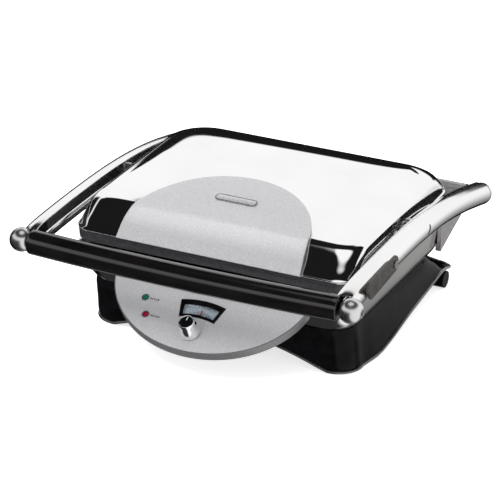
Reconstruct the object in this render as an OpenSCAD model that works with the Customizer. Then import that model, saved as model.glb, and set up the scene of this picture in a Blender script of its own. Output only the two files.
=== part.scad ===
// Panini press: a base on four feet, two arched arms joined by a round handle,
// and a domed lid that hangs between the arms and levels itself.
// Units are millimetres. +X is the user's right, +Y is the back, +Z is up.
// The origin is on the worktop, under the middle of the press.

/* [Lid and base] */
// Half width of the lid and of the base rim
rim_half_w = 167.5; // [165:0.5:168]
// Front of the rim, measured from the middle
rim_front_y = -134; // [-136:0.5:-130]
// Back of the rim, measured from the middle
rim_back_y = 150; // [146:0.5:152]
// Plan radius of the front corners
front_corner_r = 23; // [20:1:26]
// Plan radius of the back corners
back_corner_r = 26; // [24:1:30]
// Height of the base rim
base_rim_z = 105.5; // [104.5:0.1:105.8]
// Height of the lid's chrome flange
flange_z = 124; // [123.5:0.1:125]
// Height of the shoulder around the lid's top
shoulder_z = 151; // [150:0.5:152]
// Rise of the domed top above the shoulder
crown_h = 14; // [10:0.5:16]
// Wall of the pressed chrome covers
cover_t = 1.6; // [1.2:0.1:2]

/* [Arms and handle] */
// Radius of the arm's rounded outside
arm_r = 13; // [12.5:0.1:13.2]
// Sideways distance from the middle to the arm's centre line
arm_x = 185; // [184.8:0.1:186]
// Radius of the chrome ball at each end of the handle
ball_r = 13.6; // [13.2:0.1:13.8]
// Radius of the grip at its middle
grip_r = 13.9; // [13.2:0.1:14]
// Forward bow of the grip at its middle
grip_bow = 6; // [4:0.5:7]
// Radius of the shaft that the arms turn on
shaft_r = 6; // [5:0.5:6.5]
// Radius of the two pins that carry the lid
lid_pin_r = 4; // [3.5:0.5:4.5]
// Radial clearance of every running fit
run_fit = 0.05; // [0.02:0.01:0.1]

/* [Half-moon fascia] */
// Radius of the half-moon on the lid
moon_r = 107; // [104:1:110]
// How far the half-moon stands above the lid
moon_t = 3.4; // [3:0.2:4]

/* [Control panel] */
// Half width of the control panel
panel_half_w = 118; // [114:1:120]
// Length of the panel from its top edge to its front tip
panel_len = 97; // [92:1:99]
// Slope of the panel above the horizontal, in degrees
panel_slope = 30; // [28:1:32]
// Radius of the knob's skirt
knob_r = 12; // [11:0.5:12.5]
// Height of the knob
knob_h = 20; // [17:1:22]

/* [Hidden] */

// Colours
chrome_c = [0.86, 0.87, 0.89];
silver_c = [0.77, 0.77, 0.80];
dark_silver_c = [0.5, 0.5, 0.53];
black_c = [0.04, 0.04, 0.045];
dark_c = [0.16, 0.16, 0.17];
steel_c = [0.62, 0.63, 0.65];

// Facets
round_fn = 48;
corner_n = 6;
side_n = 6;

// Joint places, as [y, z]
hinge_at = [182, 101.5];
lid_pivot_at = [10, 133];
handle_at = [-195.4, 129.7];
latch_at = [-96, 140.5];

// Panel frame: where its top edge meets the base, and the knob on its face
panel_at = [0, -114.8, 88.3];
knob_on_panel = [0, -72];

// ---------- Outlines and lofts ----------

// n + 1 points of a quarter turn, from angle a0
function quarter(cx, cy, r, a0, n) =
    [for (i = [0:n]) [cx + r * cos(a0 + 90 * i / n), cy + r * sin(a0 + 90 * i / n)]];

// Points strictly between two points
function between(p, q, n) = [for (i = [1:n - 1]) p + (q - p) * i / n];

// Rounded rectangle with half width w, from y0 to y1, counter-clockwise
function outline(w, y0, y1, rf, rb) =
    let (fr = quarter(w - rf, y0 + rf, rf, -90, corner_n),
         br = quarter(w - rb, y1 - rb, rb, 0, corner_n),
         bl = quarter(-w + rb, y1 - rb, rb, 90, corner_n),
         fl = quarter(-w + rf, y0 + rf, rf, 180, corner_n))
    concat(fr, between(fr[corner_n], br[0], side_n),
           br, between(br[corner_n], bl[0], side_n),
           bl, between(bl[corner_n], fl[0], side_n),
           fl, between(fl[corner_n], fr[0], side_n));

// The outline at one height
function ring(w, y0, y1, rf, rb, z) =
    [for (p = outline(w, y0, y1, rf, rb)) [p.x, p.y, z]];

// The same outline grown by g on every side
function rim_ring(g, z, gy0 = 0, gy1 = 0) =
    ring(rim_half_w + g, rim_front_y - g + gy0, rim_back_y + g + gy1,
         front_corner_r + g, back_corner_r + g, z);

function flat_list(rings) = [for (r = rings) each r];

// Quads between ring i and ring j of n points
function band(i, j, n) =
    [for (k = [0:n - 1]) [i * n + k, i * n + (k + 1) % n, j * n + (k + 1) % n, j * n + k]];

// Skin through a list of rings, ends closed
module skin(rings) {
    n = len(rings[0]);
    m = len(rings);
    polyhedron(points = flat_list(rings),
        faces = concat([[for (k = [0:n - 1]) k]],
            [for (i = [0:m - 2]) each [for (f = band(i, i + 1, n)) [f[3], f[2], f[1], f[0]]]],
            [[for (k = [n - 1:-1:0]) (m - 1) * n + k]]),
        convexity = 8);
}

// Skin through a closed loop of rings, like a frame
module frame_skin(rings) {
    n = len(rings[0]);
    m = len(rings);
    polyhedron(points = flat_list(rings),
        faces = [for (i = [0:m - 1])
            each [for (f = band(i, (i + 1) % m, n)) [f[3], f[2], f[1], f[0]]]],
        convexity = 8);
}

// Value of a table of [key, value] rows, with straight steps between them
function table(t, k) =
    k <= t[0][0] ? t[0][1]
    : k >= t[len(t) - 1][0] ? t[len(t) - 1][1]
    : [for (i = [0:len(t) - 2]) if (k >= t[i][0] && k < t[i + 1][0])
        t[i][1] + (t[i + 1][1] - t[i][1]) * (k - t[i][0]) / (t[i + 1][0] - t[i][0])][0];

// Smooth step from 0 to 1
function smooth(t) = let (c = min(1, max(0, t))) c * c * (3 - 2 * c);

module mirrored() {
    children();
    mirror([1, 0, 0]) children();
}

// Bar along X from x0 to x1 at [y, z]
module bar(x0, x1, at, r) {
    translate([x0, at[0], at[1]]) rotate([0, 90, 0])
        cylinder(r = r, h = x1 - x0, $fn = round_fn);
}

// Frame of the sloping panel: +Z is the way its face looks
module on_panel() {
    translate(panel_at) rotate([panel_slope, 0, 0]) children();
}

// ---------- Lid ----------

// Height of the domed top, in [y] rows that share one middle and one reach
crown_mid_y = 13;
crown_reach_y = 108;
crown_reach_x = 152;
function crown_z(x, y) =
    shoulder_z + crown_h * max(0, 1 - pow(x / crown_reach_x, 2))
    * max(0, 1 - pow((y - crown_mid_y) / crown_reach_y, 2));

// Lid outline rings: half width, front, back, front radius, back radius, height
lid_rows = [
    [rim_half_w + 1.5, rim_front_y - 1.5, rim_back_y + 1, front_corner_r + 1, back_corner_r, flange_z - 1],
    [rim_half_w + 1.5, rim_front_y - 1.5, rim_back_y + 1, front_corner_r + 1, back_corner_r, flange_z + 0.6],
    [rim_half_w - 0.4, rim_front_y + 1, rim_back_y - 1, front_corner_r, back_corner_r, flange_z + 1.4],
    [rim_half_w - 0.8, rim_front_y + 6, rim_back_y - 2, front_corner_r, back_corner_r + 2, flange_z + 6],
    [rim_half_w - 1.4, rim_front_y + 13, rim_back_y - 4, front_corner_r + 1, back_corner_r + 8, flange_z + 12],
    [rim_half_w - 2.6, rim_front_y + 20, rim_back_y - 7.5, front_corner_r + 2, back_corner_r + 13, flange_z + 18],
    [rim_half_w - 4.2, rim_front_y + 25, rim_back_y - 12, front_corner_r + 3, back_corner_r + 18, flange_z + 22],
    [rim_half_w - 7, rim_front_y + 29.5, rim_back_y - 18, front_corner_r + 3, back_corner_r + 22, flange_z + 24.8],
    [rim_half_w - 11, rim_front_y + 34, rim_back_y - 24, front_corner_r + 3, back_corner_r + 24, flange_z + 26.4]];

function lid_ring(row, t) =
    ring(row[0] - t, row[1] + t, row[2] - t, row[3] - t, row[4] - t, row[5] - (t > 0 ? t * 0.7 : 0));

// A ring on the domed top, k from 1 at its edge to 0 at its middle
function crown_ring(k, drop) =
    [for (p = outline(crown_reach_x * k, crown_mid_y - crown_reach_y * k,
                      crown_mid_y + crown_reach_y * k, 24 * k, 36 * k))
        [p.x, p.y, crown_z(p.x, p.y) - drop]];

crown_steps = [1, 0.9, 0.75, 0.58, 0.4, 0.22, 0.06];

module lid_shell() {
    n = len(lid_rows);
    skin(concat(
        [for (i = [len(crown_steps) - 1:-1:0]) crown_ring(crown_steps[i], cover_t)],
        [for (i = [n - 1:-1:0]) lid_ring(lid_rows[i], cover_t)],
        [for (i = [0:n - 1]) lid_ring(lid_rows[i], 0)],
        [for (k = crown_steps) crown_ring(k, 0)]));
}

module lid_cover() {
    color(chrome_c) difference() {
        lid_shell();
        bar(-rim_half_w - 5, rim_half_w + 5, lid_pivot_at, lid_pin_r + 0.05);
    }
}

// Dark plastic band between the chrome cover and the gap
trim_z0 = 110.5;
trim_z1 = flange_z - 1.1;
module lid_trim() {
    color(dark_c) frame_skin([
        rim_ring(-12, trim_z0 + 1), rim_ring(-1.2, trim_z0), rim_ring(0.4, trim_z0 + 1.4),
        rim_ring(1, trim_z1 - 1.4), rim_ring(0.6, trim_z1 - 1.2), rim_ring(-12, trim_z1 - 1.2)]);
}

// Half-moon on the lid's top, as rows of [y, half width]
moon_mid_y = -124;
moon_angles = [5, 12, 20, 29, 38, 47, 56, 65, 73];
moon_top_rows = [for (a = moon_angles) [moon_mid_y + moon_r * cos(a), moon_r * sin(a)]];

// The part that bends over the lid's front edge, as [y, height above it, half width]
moon_front_rows = [
    [-99, 154.6, 104.2], [-106, 152.6, 105.3], [-113.5, 149, 106.6], [-120.5, 144.2, 107.8],
    [-127, 138.4, 108.8], [-132.5, 132, 109.6], [-136.8, 127.2, 110.1], [-139, 124.9, 110.4]];
moon_cols = 20;

function moon_row_top(y, w, up) =
    [for (j = [0:moon_cols]) let (x = w * (2 * j / moon_cols - 1)) [x, y, crown_z(x, y) + up]];
function moon_row_front(row, up) =
    [for (j = [0:moon_cols]) [row[2] * (2 * j / moon_cols - 1), row[0] + up * 0.38, row[1] - up * 0.38]];

// Grid of points, upper face then lower face, closed round its edge
module slab(top, low) {
    rows = len(top);
    cols = len(top[0]);
    off = rows * cols;
    last = cols - 1;
    polyhedron(points = concat(flat_list(top), flat_list(low)),
        faces = concat(
            [for (i = [0:rows - 2], j = [0:last - 1])
                [i * cols + j, i * cols + j + 1, (i + 1) * cols + j + 1, (i + 1) * cols + j]],
            [for (i = [0:rows - 2], j = [0:last - 1])
                [off + (i + 1) * cols + j, off + (i + 1) * cols + j + 1,
                 off + i * cols + j + 1, off + i * cols + j]],
            [for (j = [0:last - 1]) [off + j, off + j + 1, j + 1, j]],
            [for (j = [0:last - 1]) let (b = (rows - 1) * cols)
                [b + j, b + j + 1, off + b + j + 1, off + b + j]],
            [for (i = [0:rows - 2]) [i * cols, (i + 1) * cols, off + (i + 1) * cols, off + i * cols]],
            [for (i = [0:rows - 2])
                [off + i * cols + last, off + (i + 1) * cols + last,
                 (i + 1) * cols + last, i * cols + last]]),
        convexity = 6);
}

module lid_fascia() {
    color(silver_c) slab(
        concat([for (r = moon_top_rows) moon_row_top(r[0], r[1], moon_t)],
               [for (r = moon_front_rows) moon_row_front(r, 0)]),
        concat([for (r = moon_top_rows) moon_row_top(r[0], r[1], 0.3)],
               [for (r = moon_front_rows) moon_row_front(r, moon_t)]));
}

// Blank pill-shaped badge on the half-moon
badge_at = [0.5, -65];
badge_len = 50;
badge_w = 11;
module lid_badge() {
    rise = crown_z(0, badge_at[1]) + moon_t;
    tilt = atan2(crown_z(0, badge_at[1] + 5) - crown_z(0, badge_at[1] - 5), 10);
    color(silver_c) translate([badge_at[0], badge_at[1], rise + 0.03]) rotate([tilt, 0, 0])
        linear_extrude(1.95) hull() for (s = [-1, 1])
            translate([s * (badge_len - badge_w) / 2, 0]) circle(d = badge_w, $fn = round_fn);
}

// Ribbed cast plate: a slab along Y with a comb of ribs, dir = 1 ribs up, -1 ribs down
plate_half_w = 150;
plate_y0 = -118;
plate_y1 = 132;
rib_pitch = 11.5;
rib_n = 12;
module grill_plate(z, dir, slab_t, rib_h) {
    comb = [for (i = [-rib_n:rib_n]) each let (c = i * rib_pitch)
        [[c - 3.4, slab_t], [c - 1.8, slab_t + rib_h], [c + 1.8, slab_t + rib_h], [c + 3.4, slab_t]]];
    translate([0, 0, z]) {
        translate([0, plate_y1 - 12, 0]) rotate([90, 0, 0])
            linear_extrude(plate_y1 - plate_y0 - 24)
                polygon([for (p = concat([[-rib_n * rib_pitch - 6, 0]], comb,
                    [[rib_n * rib_pitch + 6, 0]])) [p.x, dir * p.y]]);
        translate([0, 0, dir > 0 ? 0 : -slab_t]) linear_extrude(slab_t)
            polygon(outline(plate_half_w, plate_y0, plate_y1, 22, 34));
        translate([0, 0, dir > 0 ? -3 : 0]) linear_extrude(3) difference() {
            polygon(outline(plate_half_w, plate_y0, plate_y1, 22, 34));
            polygon(outline(plate_half_w - 4, plate_y0 + 4, plate_y1 - 4, 18, 30));
        }
    }
}

// Tubular heater: three long runs joined by two bends, tails to one side
element_r = 3.6;
element_pitch = 78;
element_run = 134;
element_mid_y = 7;
element_sides = 10;
// The heater's section, flattened to a regular polygon
module element_section() {
    polygon([for (i = [0:element_sides - 1]) element_r * [cos(360 * (i + 0.5) / element_sides),
        sin(360 * (i + 0.5) / element_sides)]]);
}
module element_bend() {
    rotate_extrude(angle = 180, $fn = round_fn) translate([element_pitch / 2, 0]) element_section();
}
module element(z) {
    translate([0, element_mid_y, z]) {
        for (i = [-1:1]) translate([i * element_pitch, element_run / 2, 0]) rotate([90, 0, 0])
            linear_extrude(element_run) element_section();
        translate([-element_pitch / 2, element_run / 2, 0]) element_bend();
        translate([element_pitch / 2, -element_run / 2, 0]) rotate([0, 0, 180]) element_bend();
    }
}

// Thin pan that throws the heat back: floor at z0, rim at z1
module reflector(z0, z1) {
    lo = min(z0, z1);
    hi = max(z0, z1);
    floor_z = z0 < z1 ? lo : hi - 0.8;
    translate([0, 0, floor_z]) linear_extrude(0.8)
        polygon(outline(140, -108, 120, 20, 30));
    translate([0, 0, lo]) linear_extrude(hi - lo) difference() {
        polygon(outline(140, -108, 120, 20, 30));
        polygon(outline(139.2, -107.2, 119.2, 19.2, 29.2));
    }
}

screw_spots = [[-118, -85], [118, -85], [-118, 98], [118, 98]];

upper_plate_z = 122;
module upper_grill_plate() {
    color(black_c) grill_plate(upper_plate_z - 3.6, -1, 4, 2.8);
}
module upper_element() { color(steel_c) element(upper_plate_z + element_r - 3.5); }
module upper_reflector() { color(steel_c) reflector(132, upper_plate_z - 3.4); }
module upper_plate_screws() {
    color(steel_c) for (p = screw_spots) translate([p[0], p[1], 132.1]) {
        cylinder(r = 4, h = 2, $fn = 24);
        translate([0, 0, 1.9]) cylinder(r = 1.8, h = 5, $fn = 24);
    }
}
module thermal_fuse() {
    color(silver_c) translate([-30, 60, 135.2]) rotate([0, 90, 0]) {
        cylinder(r = 3, h = 18, $fn = 24);
        translate([0, 0, 17.9]) cylinder(r = 0.9, h = 12, $fn = 16);
        translate([0, 0, -12]) cylinder(r = 0.9, h = 12.1, $fn = 16);
    }
}

// Pin and its plate on the inside of the lid's wall
lid_wall_x = rim_half_w - 3.4;
module lid_pivot() {
    color(steel_c) {
        bar(lid_wall_x - 3, 183, lid_pivot_at, lid_pin_r);
        difference() {
            translate([lid_wall_x - 4.8, lid_pivot_at[0] - 16, lid_pivot_at[1] - 9]) cube([4, 32, 16]);
            for (s = [-1, 1]) bar(150, 170, [lid_pivot_at[0] + s * 11, lid_pivot_at[1] - 4], 1.6);
        }
    }
}
module lid_pivot_right() { lid_pivot(); }
module lid_pivot_left() { mirror([1, 0, 0]) lid_pivot(); }

// ---------- Base ----------

// Height of the bowl's lower edge, a little lower towards the back
function bowl_edge_z(y) = 58 - 0.034 * (y + 118);
function edge_ring(w, y0, y1, rf, rb, up) =
    [for (p = outline(w, y0, y1, rf, rb)) [p.x, p.y, bowl_edge_z(p.y) + up]];

// Bowl outline rows: half width, front, back, front radius, back radius
bowl_rows = [[rim_half_w - 10.5, -118.5, 134, 27, 33], [rim_half_w - 7, -121, 145, 26, 30],
    [rim_half_w - 4.6, -124, 151, 25, 27], [rim_half_w - 2.6, -128.5, 151.5, 24, 26],
    [rim_half_w - 1, -132, 151, 23, 26]];
// The three lower rows are above the edge, the two upper ones at fixed heights
bowl_ups = [0, 5, 12];
bowl_zs = [85, 99.5];
function bowl_ring(i, t) =
    let (r = bowl_rows[i], w = r[0] - t, y0 = r[1] + t, y1 = r[2] - t, rf = r[3] - t, rb = r[4] - t)
    i < 3 ? edge_ring(w, y0, y1, rf, rb, bowl_ups[i]) : ring(w, y0, y1, rf, rb, bowl_zs[i - 3]);

wire_hole_r = 5;
module base_bowl() {
    color(chrome_c) difference() {
        frame_skin(concat(
            [for (i = [0:4]) bowl_ring(i, 0)],
            [rim_ring(0.8, 101.5), rim_ring(1.4, 102.6), rim_ring(1.4, base_rim_z - 0.6),
             rim_ring(0.8, base_rim_z), rim_ring(-10, base_rim_z), rim_ring(-10, base_rim_z - 1.6),
             rim_ring(-2.6, base_rim_z - 2.4)],
            [for (i = [4:-1:0]) bowl_ring(i, cover_t)]));
        translate([gland_x, 170, gland_z]) rotate([90, 0, 0]) cylinder(r = gland_r, h = 60, $fn = round_fn);
        translate([0, -100, 65]) rotate([90, 0, 0]) cylinder(r = wire_hole_r, h = 40, $fn = 24);
    }
}

// Black skirt: height of its lower edge, and how wide it flares, round the outline
side_edge_rows = [[-45, 0], [-30, 3], [0, 10], [30, 15], [73, 19.5], [100, 22], [126, 24], [160, 17]];
foot_half_w = 128;
front_arch_h = 26;
arch_back_z = 24;
function skirt_edge_z(x, y) =
    y < -100 ? (abs(x) > foot_half_w ? 0 : front_arch_h * (1 - pow(x / foot_half_w, 2)))
    : y > 140 && abs(x) < 120 ? arch_back_z
    : table(side_edge_rows, y);
flare_rows = [[-110, -2], [-80, 0], [-60, 4], [-30, 7], [0, 9], [60, 9.5], [160, 9.5]];
ridge_rows = [[92, 0], [104, 3], [120, 9], [137, 22], [152, 31], [165, 36]];

// Sideways shift of the skirt's flare, full at the sides and nothing by the middle
flare_from_x = 100;
function flare_at(x, y, share) =
    abs(x) > flare_from_x
        ? sign(x) * share * table(flare_rows, y) * (abs(x) - flare_from_x) / 60 : 0;

function skirt_low_ring(g, up) =
    [for (p = outline(160 + g, -110 - g, 162 + g, 30, 16))
        [p.x + flare_at(p.x, p.y, 1), p.y, skirt_edge_z(p.x, p.y) + up]];
function skirt_mid_ring(w, y0, y1, share, flare, g) =
    [for (p = outline(w + g, y0 - g, y1 + g, 28, 28))
        let (hi = bowl_edge_z(p.y) - table(ridge_rows, p.y), lo = skirt_edge_z(p.x, p.y))
        [p.x + flare_at(p.x, p.y, flare), p.y, lo + (hi - lo) * share]];
function skirt_top_ring(w, y0, y1, rf, rb) =
    [for (p = outline(w, y0, y1, rf, rb)) [p.x, p.y, bowl_edge_z(p.y) - 0.15]];

skirt_t = 3;
skirt_wall = 9;
module base_skirt() {
    color(black_c) frame_skin([
        skirt_low_ring(-skirt_t, 0), skirt_low_ring(0, 0), skirt_low_ring(0.6, 3),
        skirt_mid_ring(159.5, -114, 155, 0.45, 0.7, 0), skirt_mid_ring(159, -117.5, 146, 0.82, 0.4, 0),
        skirt_mid_ring(157.5, -119, 139, 0.985, 0.2, 0), skirt_top_ring(156, -117.6, 133, 26, 32),
        skirt_top_ring(146, -108, 122, 18, 24),
        skirt_mid_ring(159.5, -114, 155, 0.45, 0.7, -skirt_wall)]);
}

// Plate that closes the base from below, ribbed
cover_z = 33;
cover_half_w = 144;
module bottom_cover() {
    color(dark_c) difference() {
        union() {
            translate([0, 0, cover_z]) linear_extrude(2.4) polygon(outline(cover_half_w, -100, 118, 20, 24));
            for (x = [-120:60:120]) translate([x - 1.2, -76, cover_z - 5]) cube([2.4, 164, 5.1]);
        }
        for (p = screw_spots) translate([p[0], p[1], 20]) cylinder(r = 2.2, h = 30, $fn = 24);
    }
}

front_foot_at = [136, -76];
module front_feet() {
    color(dark_c) mirrored() translate([front_foot_at[0], front_foot_at[1], 0]) {
        cylinder(r = 9, h = 5, $fn = round_fn);
        translate([0, 0, 4.9]) cylinder(r = 3, h = cover_z - 4.95, $fn = 24);
    }
}

// Rounded rollers that the back of the base stands on, each on a leg from the cover
rear_foot_at = [139, 10];
rear_foot_r = 10;
module rear_feet() {
    color(black_c) mirrored() {
        bar(136, 170, rear_foot_at, rear_foot_r);
        translate([137, 0, 0]) rotate([90, 0, 90]) linear_extrude(5)
            polygon([[rear_foot_at[0] - 9.5, 8], [rear_foot_at[0] - 2, 19.5],
                [110, cover_z - 0.05], [86, cover_z - 0.05]]);
    }
}

module base_screws() {
    color(steel_c) for (p = screw_spots) translate([p[0], p[1], 28.95]) {
        cylinder(r = 4.4, h = 4, $fn = 24);
        translate([0, 0, 3.9]) cylinder(r = 2, h = 14, $fn = 24);
    }
}

lower_plate_z = 97.5;
module lower_grill_plate() { color(black_c) grill_plate(lower_plate_z, 1, 4, 2.8); }
module lower_element() { color(steel_c) element(lower_plate_z - element_r - 0.1); }
module lower_reflector() { color(steel_c) reflector(84, lower_plate_z - 0.2); }
module lower_plate_screws() {
    color(steel_c) for (p = screw_spots) translate([p[0], p[1], 77]) {
        cylinder(r = 1.8, h = 5, $fn = 24);
        translate([0, 0, 4.9]) cylinder(r = 4, h = 2, $fn = 24);
    }
}

// Bracket on the back corner of the base, with the barrel that the shaft turns in
bracket_x0 = 100;
bracket_x1 = 174;
leg_w = 14;
cheek_x0 = 150;
cheek_x1 = 169.5;
wall_back_y = bowl_rows[3][2] + 0.1;
// Side outlines of the inner leg and of the outer cheek, as [y, z]
leg_side = [[hinge_at[0] - 9, hinge_at[1] + 7.5], [hinge_at[0] + 9, hinge_at[1] - 7.5],
    [wall_back_y + 3, 66], [wall_back_y, 66], [wall_back_y, 98]];
cheek_side = [[hinge_at[0] - 9, hinge_at[1] + 7.5], [hinge_at[0] + 10, hinge_at[1] - 7],
    [hinge_at[0] + 5, 77], [hinge_at[0] - 1, 73.5], [120, 54], [120, 90], [140, 98]];

// Steps a hair outside the bowl, each as tall as one of its rows
bowl_steps = [[40, 63, bowl_rows[2]], [62, 86, bowl_rows[3]], [85, 101, bowl_rows[4]],
    [100.9, 112, [rim_half_w + 1.4, rim_front_y - 1.4, rim_back_y + 1.4, front_corner_r, back_corner_r]]];
module bowl_solid(grow) {
    for (b = bowl_steps) let (r = b[2]) translate([0, 0, b[0]]) linear_extrude(b[1] - b[0])
        polygon(outline(r[0] + grow, r[1] - grow, r[2] + grow, r[3], r[4]));
}
module hinge_bracket() {
    color(chrome_c) difference() {
        union() {
            bar(bracket_x0, bracket_x1, hinge_at, 12);
            translate([bracket_x0 + 2, 0, 0]) rotate([90, 0, 90])
                linear_extrude(leg_w) polygon(leg_side);
            translate([cheek_x0, 0, 0]) rotate([90, 0, 90])
                linear_extrude(cheek_x1 - cheek_x0) polygon(cheek_side);
        }
        bowl_solid(0.1);
        bar(bracket_x0 - 5, bracket_x1 + 5, hinge_at, shaft_r + run_fit);
    }
}
module hinge_bracket_right() { hinge_bracket(); }
module hinge_bracket_left() { mirror([1, 0, 0]) hinge_bracket(); }

// Cord inlet on the back of the base
gland_x = 60;
gland_z = 84;
gland_r = 8;
gland_bore_r = 4;
gland_flange_t = 9;
gland_len = 24;
module cord_gland() {
    color(dark_c) translate([gland_x, wall_back_y, gland_z]) rotate([90, 0, 0]) difference() {
        union() {
            translate([0, 0, -gland_flange_t]) cylinder(r1 = 9.4, r2 = 11, h = gland_flange_t, $fn = round_fn);
            translate([0, 0, -0.1]) cylinder(r = gland_r - 0.05, h = gland_len - gland_flange_t, $fn = round_fn);
        }
        translate([0, 0, -gland_flange_t - 1]) cylinder(r = gland_bore_r, h = gland_len + 4, $fn = round_fn);
    }
}
module terminal_block() {
    color(silver_c) translate([28, 88, 36]) difference() {
        cube([42, 18, 16]);
        for (i = [0:2]) translate([8 + i * 13, -1, 9]) rotate([-90, 0, 0])
            cylinder(r = 2.4, h = 20, $fn = 24);
    }
}

// ---------- Control panel ----------

// Half ellipse below the panel's top edge, shrunk by t
panel_n = 40;
function panel_outline(t) =
    [for (i = [0:panel_n]) let (a = 180 + 180 * i / panel_n)
        [(panel_half_w - t) * cos(a), min(-t, (panel_len - t) * sin(a))]];

// Window above the knob: part of a wide ring whose centre is below the knob
window_centre = [0, -60];
window_r0 = 79;
window_r1 = 101;
window_half_a = 15.5;
window_n = 12;
function window_arc(r, a0, a1) =
    [for (i = [0:window_n]) let (a = 90 + a0 + (a1 - a0) * i / window_n)
        [r * cos(a) + window_centre[0], r * sin(a) + window_centre[1]]];
// The window's outline with its inner edge, outer edge and ends moved in
function window_outline(in0, in1, ends) =
    let (h = window_half_a - ends)
    concat(window_arc(window_r0 + in0, h, -h), window_arc(window_r1 - in1, -h, h));

module at_knob() { translate([knob_on_panel[0], knob_on_panel[1], 0]) children(); }

// Lens places on the panel
ready_at = [-67.9, -42.1];
power_at = [-58.7, -62.7];
lens_r = 3.6;

face_t = 2;
housing_t = 12.5;
floor_t = 2;
shaft_hole_r = 4;
module panel_cutters(depth) {
    at_knob() {
        translate([0, 0, -depth]) cylinder(r = shaft_hole_r, h = depth + 2, $fn = round_fn);
        translate([0, 0, -depth]) linear_extrude(depth + 2) polygon(window_outline(0, 0, 0));
    }
    for (p = [ready_at, power_at]) translate([p[0], p[1], -depth])
        cylinder(r = lens_r, h = depth + 2, $fn = round_fn);
}

// Everything behind the front of the bowl and the skirt, as a solid across the panel
base_front = concat([[-119.6, 0], [-119.6, bowl_edge_z(bowl_rows[0][1]) - 1]],
    [for (i = [0:2]) [bowl_rows[i][1] - 0.05, bowl_edge_z(bowl_rows[i][1]) + bowl_ups[i]]],
    [for (i = [3:4]) [bowl_rows[i][1] - 0.05, bowl_zs[i - 3]]]);
module behind_front() {
    translate([-140, 0, 0]) rotate([90, 0, 90]) linear_extrude(280)
        polygon(concat(base_front, [[-140, 120], [0, 120], [0, 0]]));
}

module control_panel() {
    color(silver_c) difference() {
        on_panel() difference() {
            translate([0, 0, -face_t]) linear_extrude(face_t) polygon(panel_outline(0.8));
            panel_cutters(face_t + 1);
        }
        behind_front();
    }
}

// Shelf under the panel, hollow, with a pocket below it for the thermostat
pocket_half_w = 14;
pocket_y0 = -84.5;
pocket_y1 = -30;
pocket_z = -27;
module pocket(t) {
    translate([-pocket_half_w + t, pocket_y0 + t, pocket_z + t])
        cube([2 * (pocket_half_w - t), pocket_y1 - pocket_y0 - 2 * t, -housing_t + 2 * floor_t - pocket_z]);
}
module panel_housing() {
    color(dark_silver_c) difference() {
        on_panel() difference() {
            union() {
                translate([0, 0, -housing_t]) linear_extrude(housing_t - face_t) polygon(panel_outline(0));
                pocket(0);
            }
            translate([0, 0, -housing_t + floor_t]) linear_extrude(housing_t) polygon(panel_outline(3));
            pocket(floor_t);
        }
        behind_front();
    }
}

module window_frame() {
    color(black_c) on_panel() at_knob() translate([0, 0, -3]) linear_extrude(3.8) difference() {
        polygon(window_outline(0.15, 0.15, 0.1));
        polygon(window_outline(3, 5.5, 2.4));
    }
}
module window_lens() {
    color([0.8, 0.85, 0.88, 0.4]) on_panel() at_knob() translate([0, 0, -2.4])
        linear_extrude(1.6) polygon(window_outline(3.05, 5.55, 2.45));
}
// Fixed plate with the scale, on two posts from the floor of the housing
scale_z = -6.4;
module dial_scale() {
    color(silver_c) on_panel() at_knob() {
        translate([0, 0, scale_z]) linear_extrude(1) polygon(window_outline(1, 1, 0.6));
        for (s = [-1, 1]) translate([s * 18, 30, -housing_t + floor_t])
            cylinder(r = 2, h = scale_z + 0.05 - (-housing_t + floor_t), $fn = 24);
    }
}
module lens(at, c) {
    color(c) on_panel() translate([at[0], at[1], -4]) {
        cylinder(r = lens_r - 0.1, h = 4.2, $fn = round_fn);
        translate([0, 0, 4.1]) cylinder(r1 = lens_r - 0.1, r2 = lens_r - 1.1, h = 0.9, $fn = round_fn);
    }
}
module ready_lens() { lens(ready_at, [0.05, 0.55, 0.3]); }
module power_lens() { lens(power_at, [0.8, 0.05, 0.15]); }
// Holder for the two lamps behind the lenses
holder_at = [-75, -70];
module lamp_holder() {
    color(dark_c) on_panel() translate([holder_at[0], holder_at[1], -housing_t + floor_t]) difference() {
        cube([24, 35, housing_t - floor_t - 4.05]);
        for (p = [ready_at, power_at]) translate([p[0] - holder_at[0], p[1] - holder_at[1], 1])
            cylinder(r = 2.4, h = 20, $fn = 24);
    }
}

// Thermostat can under the knob, with a round hole for the knob's shaft
stem_r = 3;
can_r = 10.5;
can_z0 = pocket_z + floor_t;
can_h = 10;
module thermostat() {
    color(steel_c) on_panel() at_knob() difference() {
        union() {
            translate([0, 0, can_z0]) cylinder(r = can_r, h = can_h, $fn = round_fn);
            translate([0, 0, can_z0 + can_h - 0.1]) cylinder(r = 6, h = 5.1, $fn = round_fn);
        }
        translate([0, 0, can_z0 + 3]) cylinder(r = stem_r + run_fit, h = 20, $fn = round_fn);
    }
}

knob_gap = 0.4;
module thermostat_knob() {
    color(chrome_c) on_panel() at_knob() {
        translate([0, 0, knob_gap]) difference() {
            cylinder(r1 = knob_r, r2 = knob_r * 0.72, h = knob_h - knob_gap, $fn = round_fn);
            translate([0, 0, knob_h - 2.4]) cylinder(r = knob_r * 0.58, h = 4, $fn = round_fn);
        }
        translate([0, 0, can_z0 + 3.4]) cylinder(r = stem_r, h = knob_gap + 0.1 - can_z0 - 3.4, $fn = round_fn);
    }
}
module knob_grip() {
    color(black_c) on_panel() at_knob() translate([0, 0, knob_h - 2]) difference() {
        cylinder(r = knob_r * 0.57, h = 2.4, $fn = round_fn);
        translate([-0.6, 0, 1.8]) cube([1.2, knob_r, 2]);
    }
}
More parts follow.
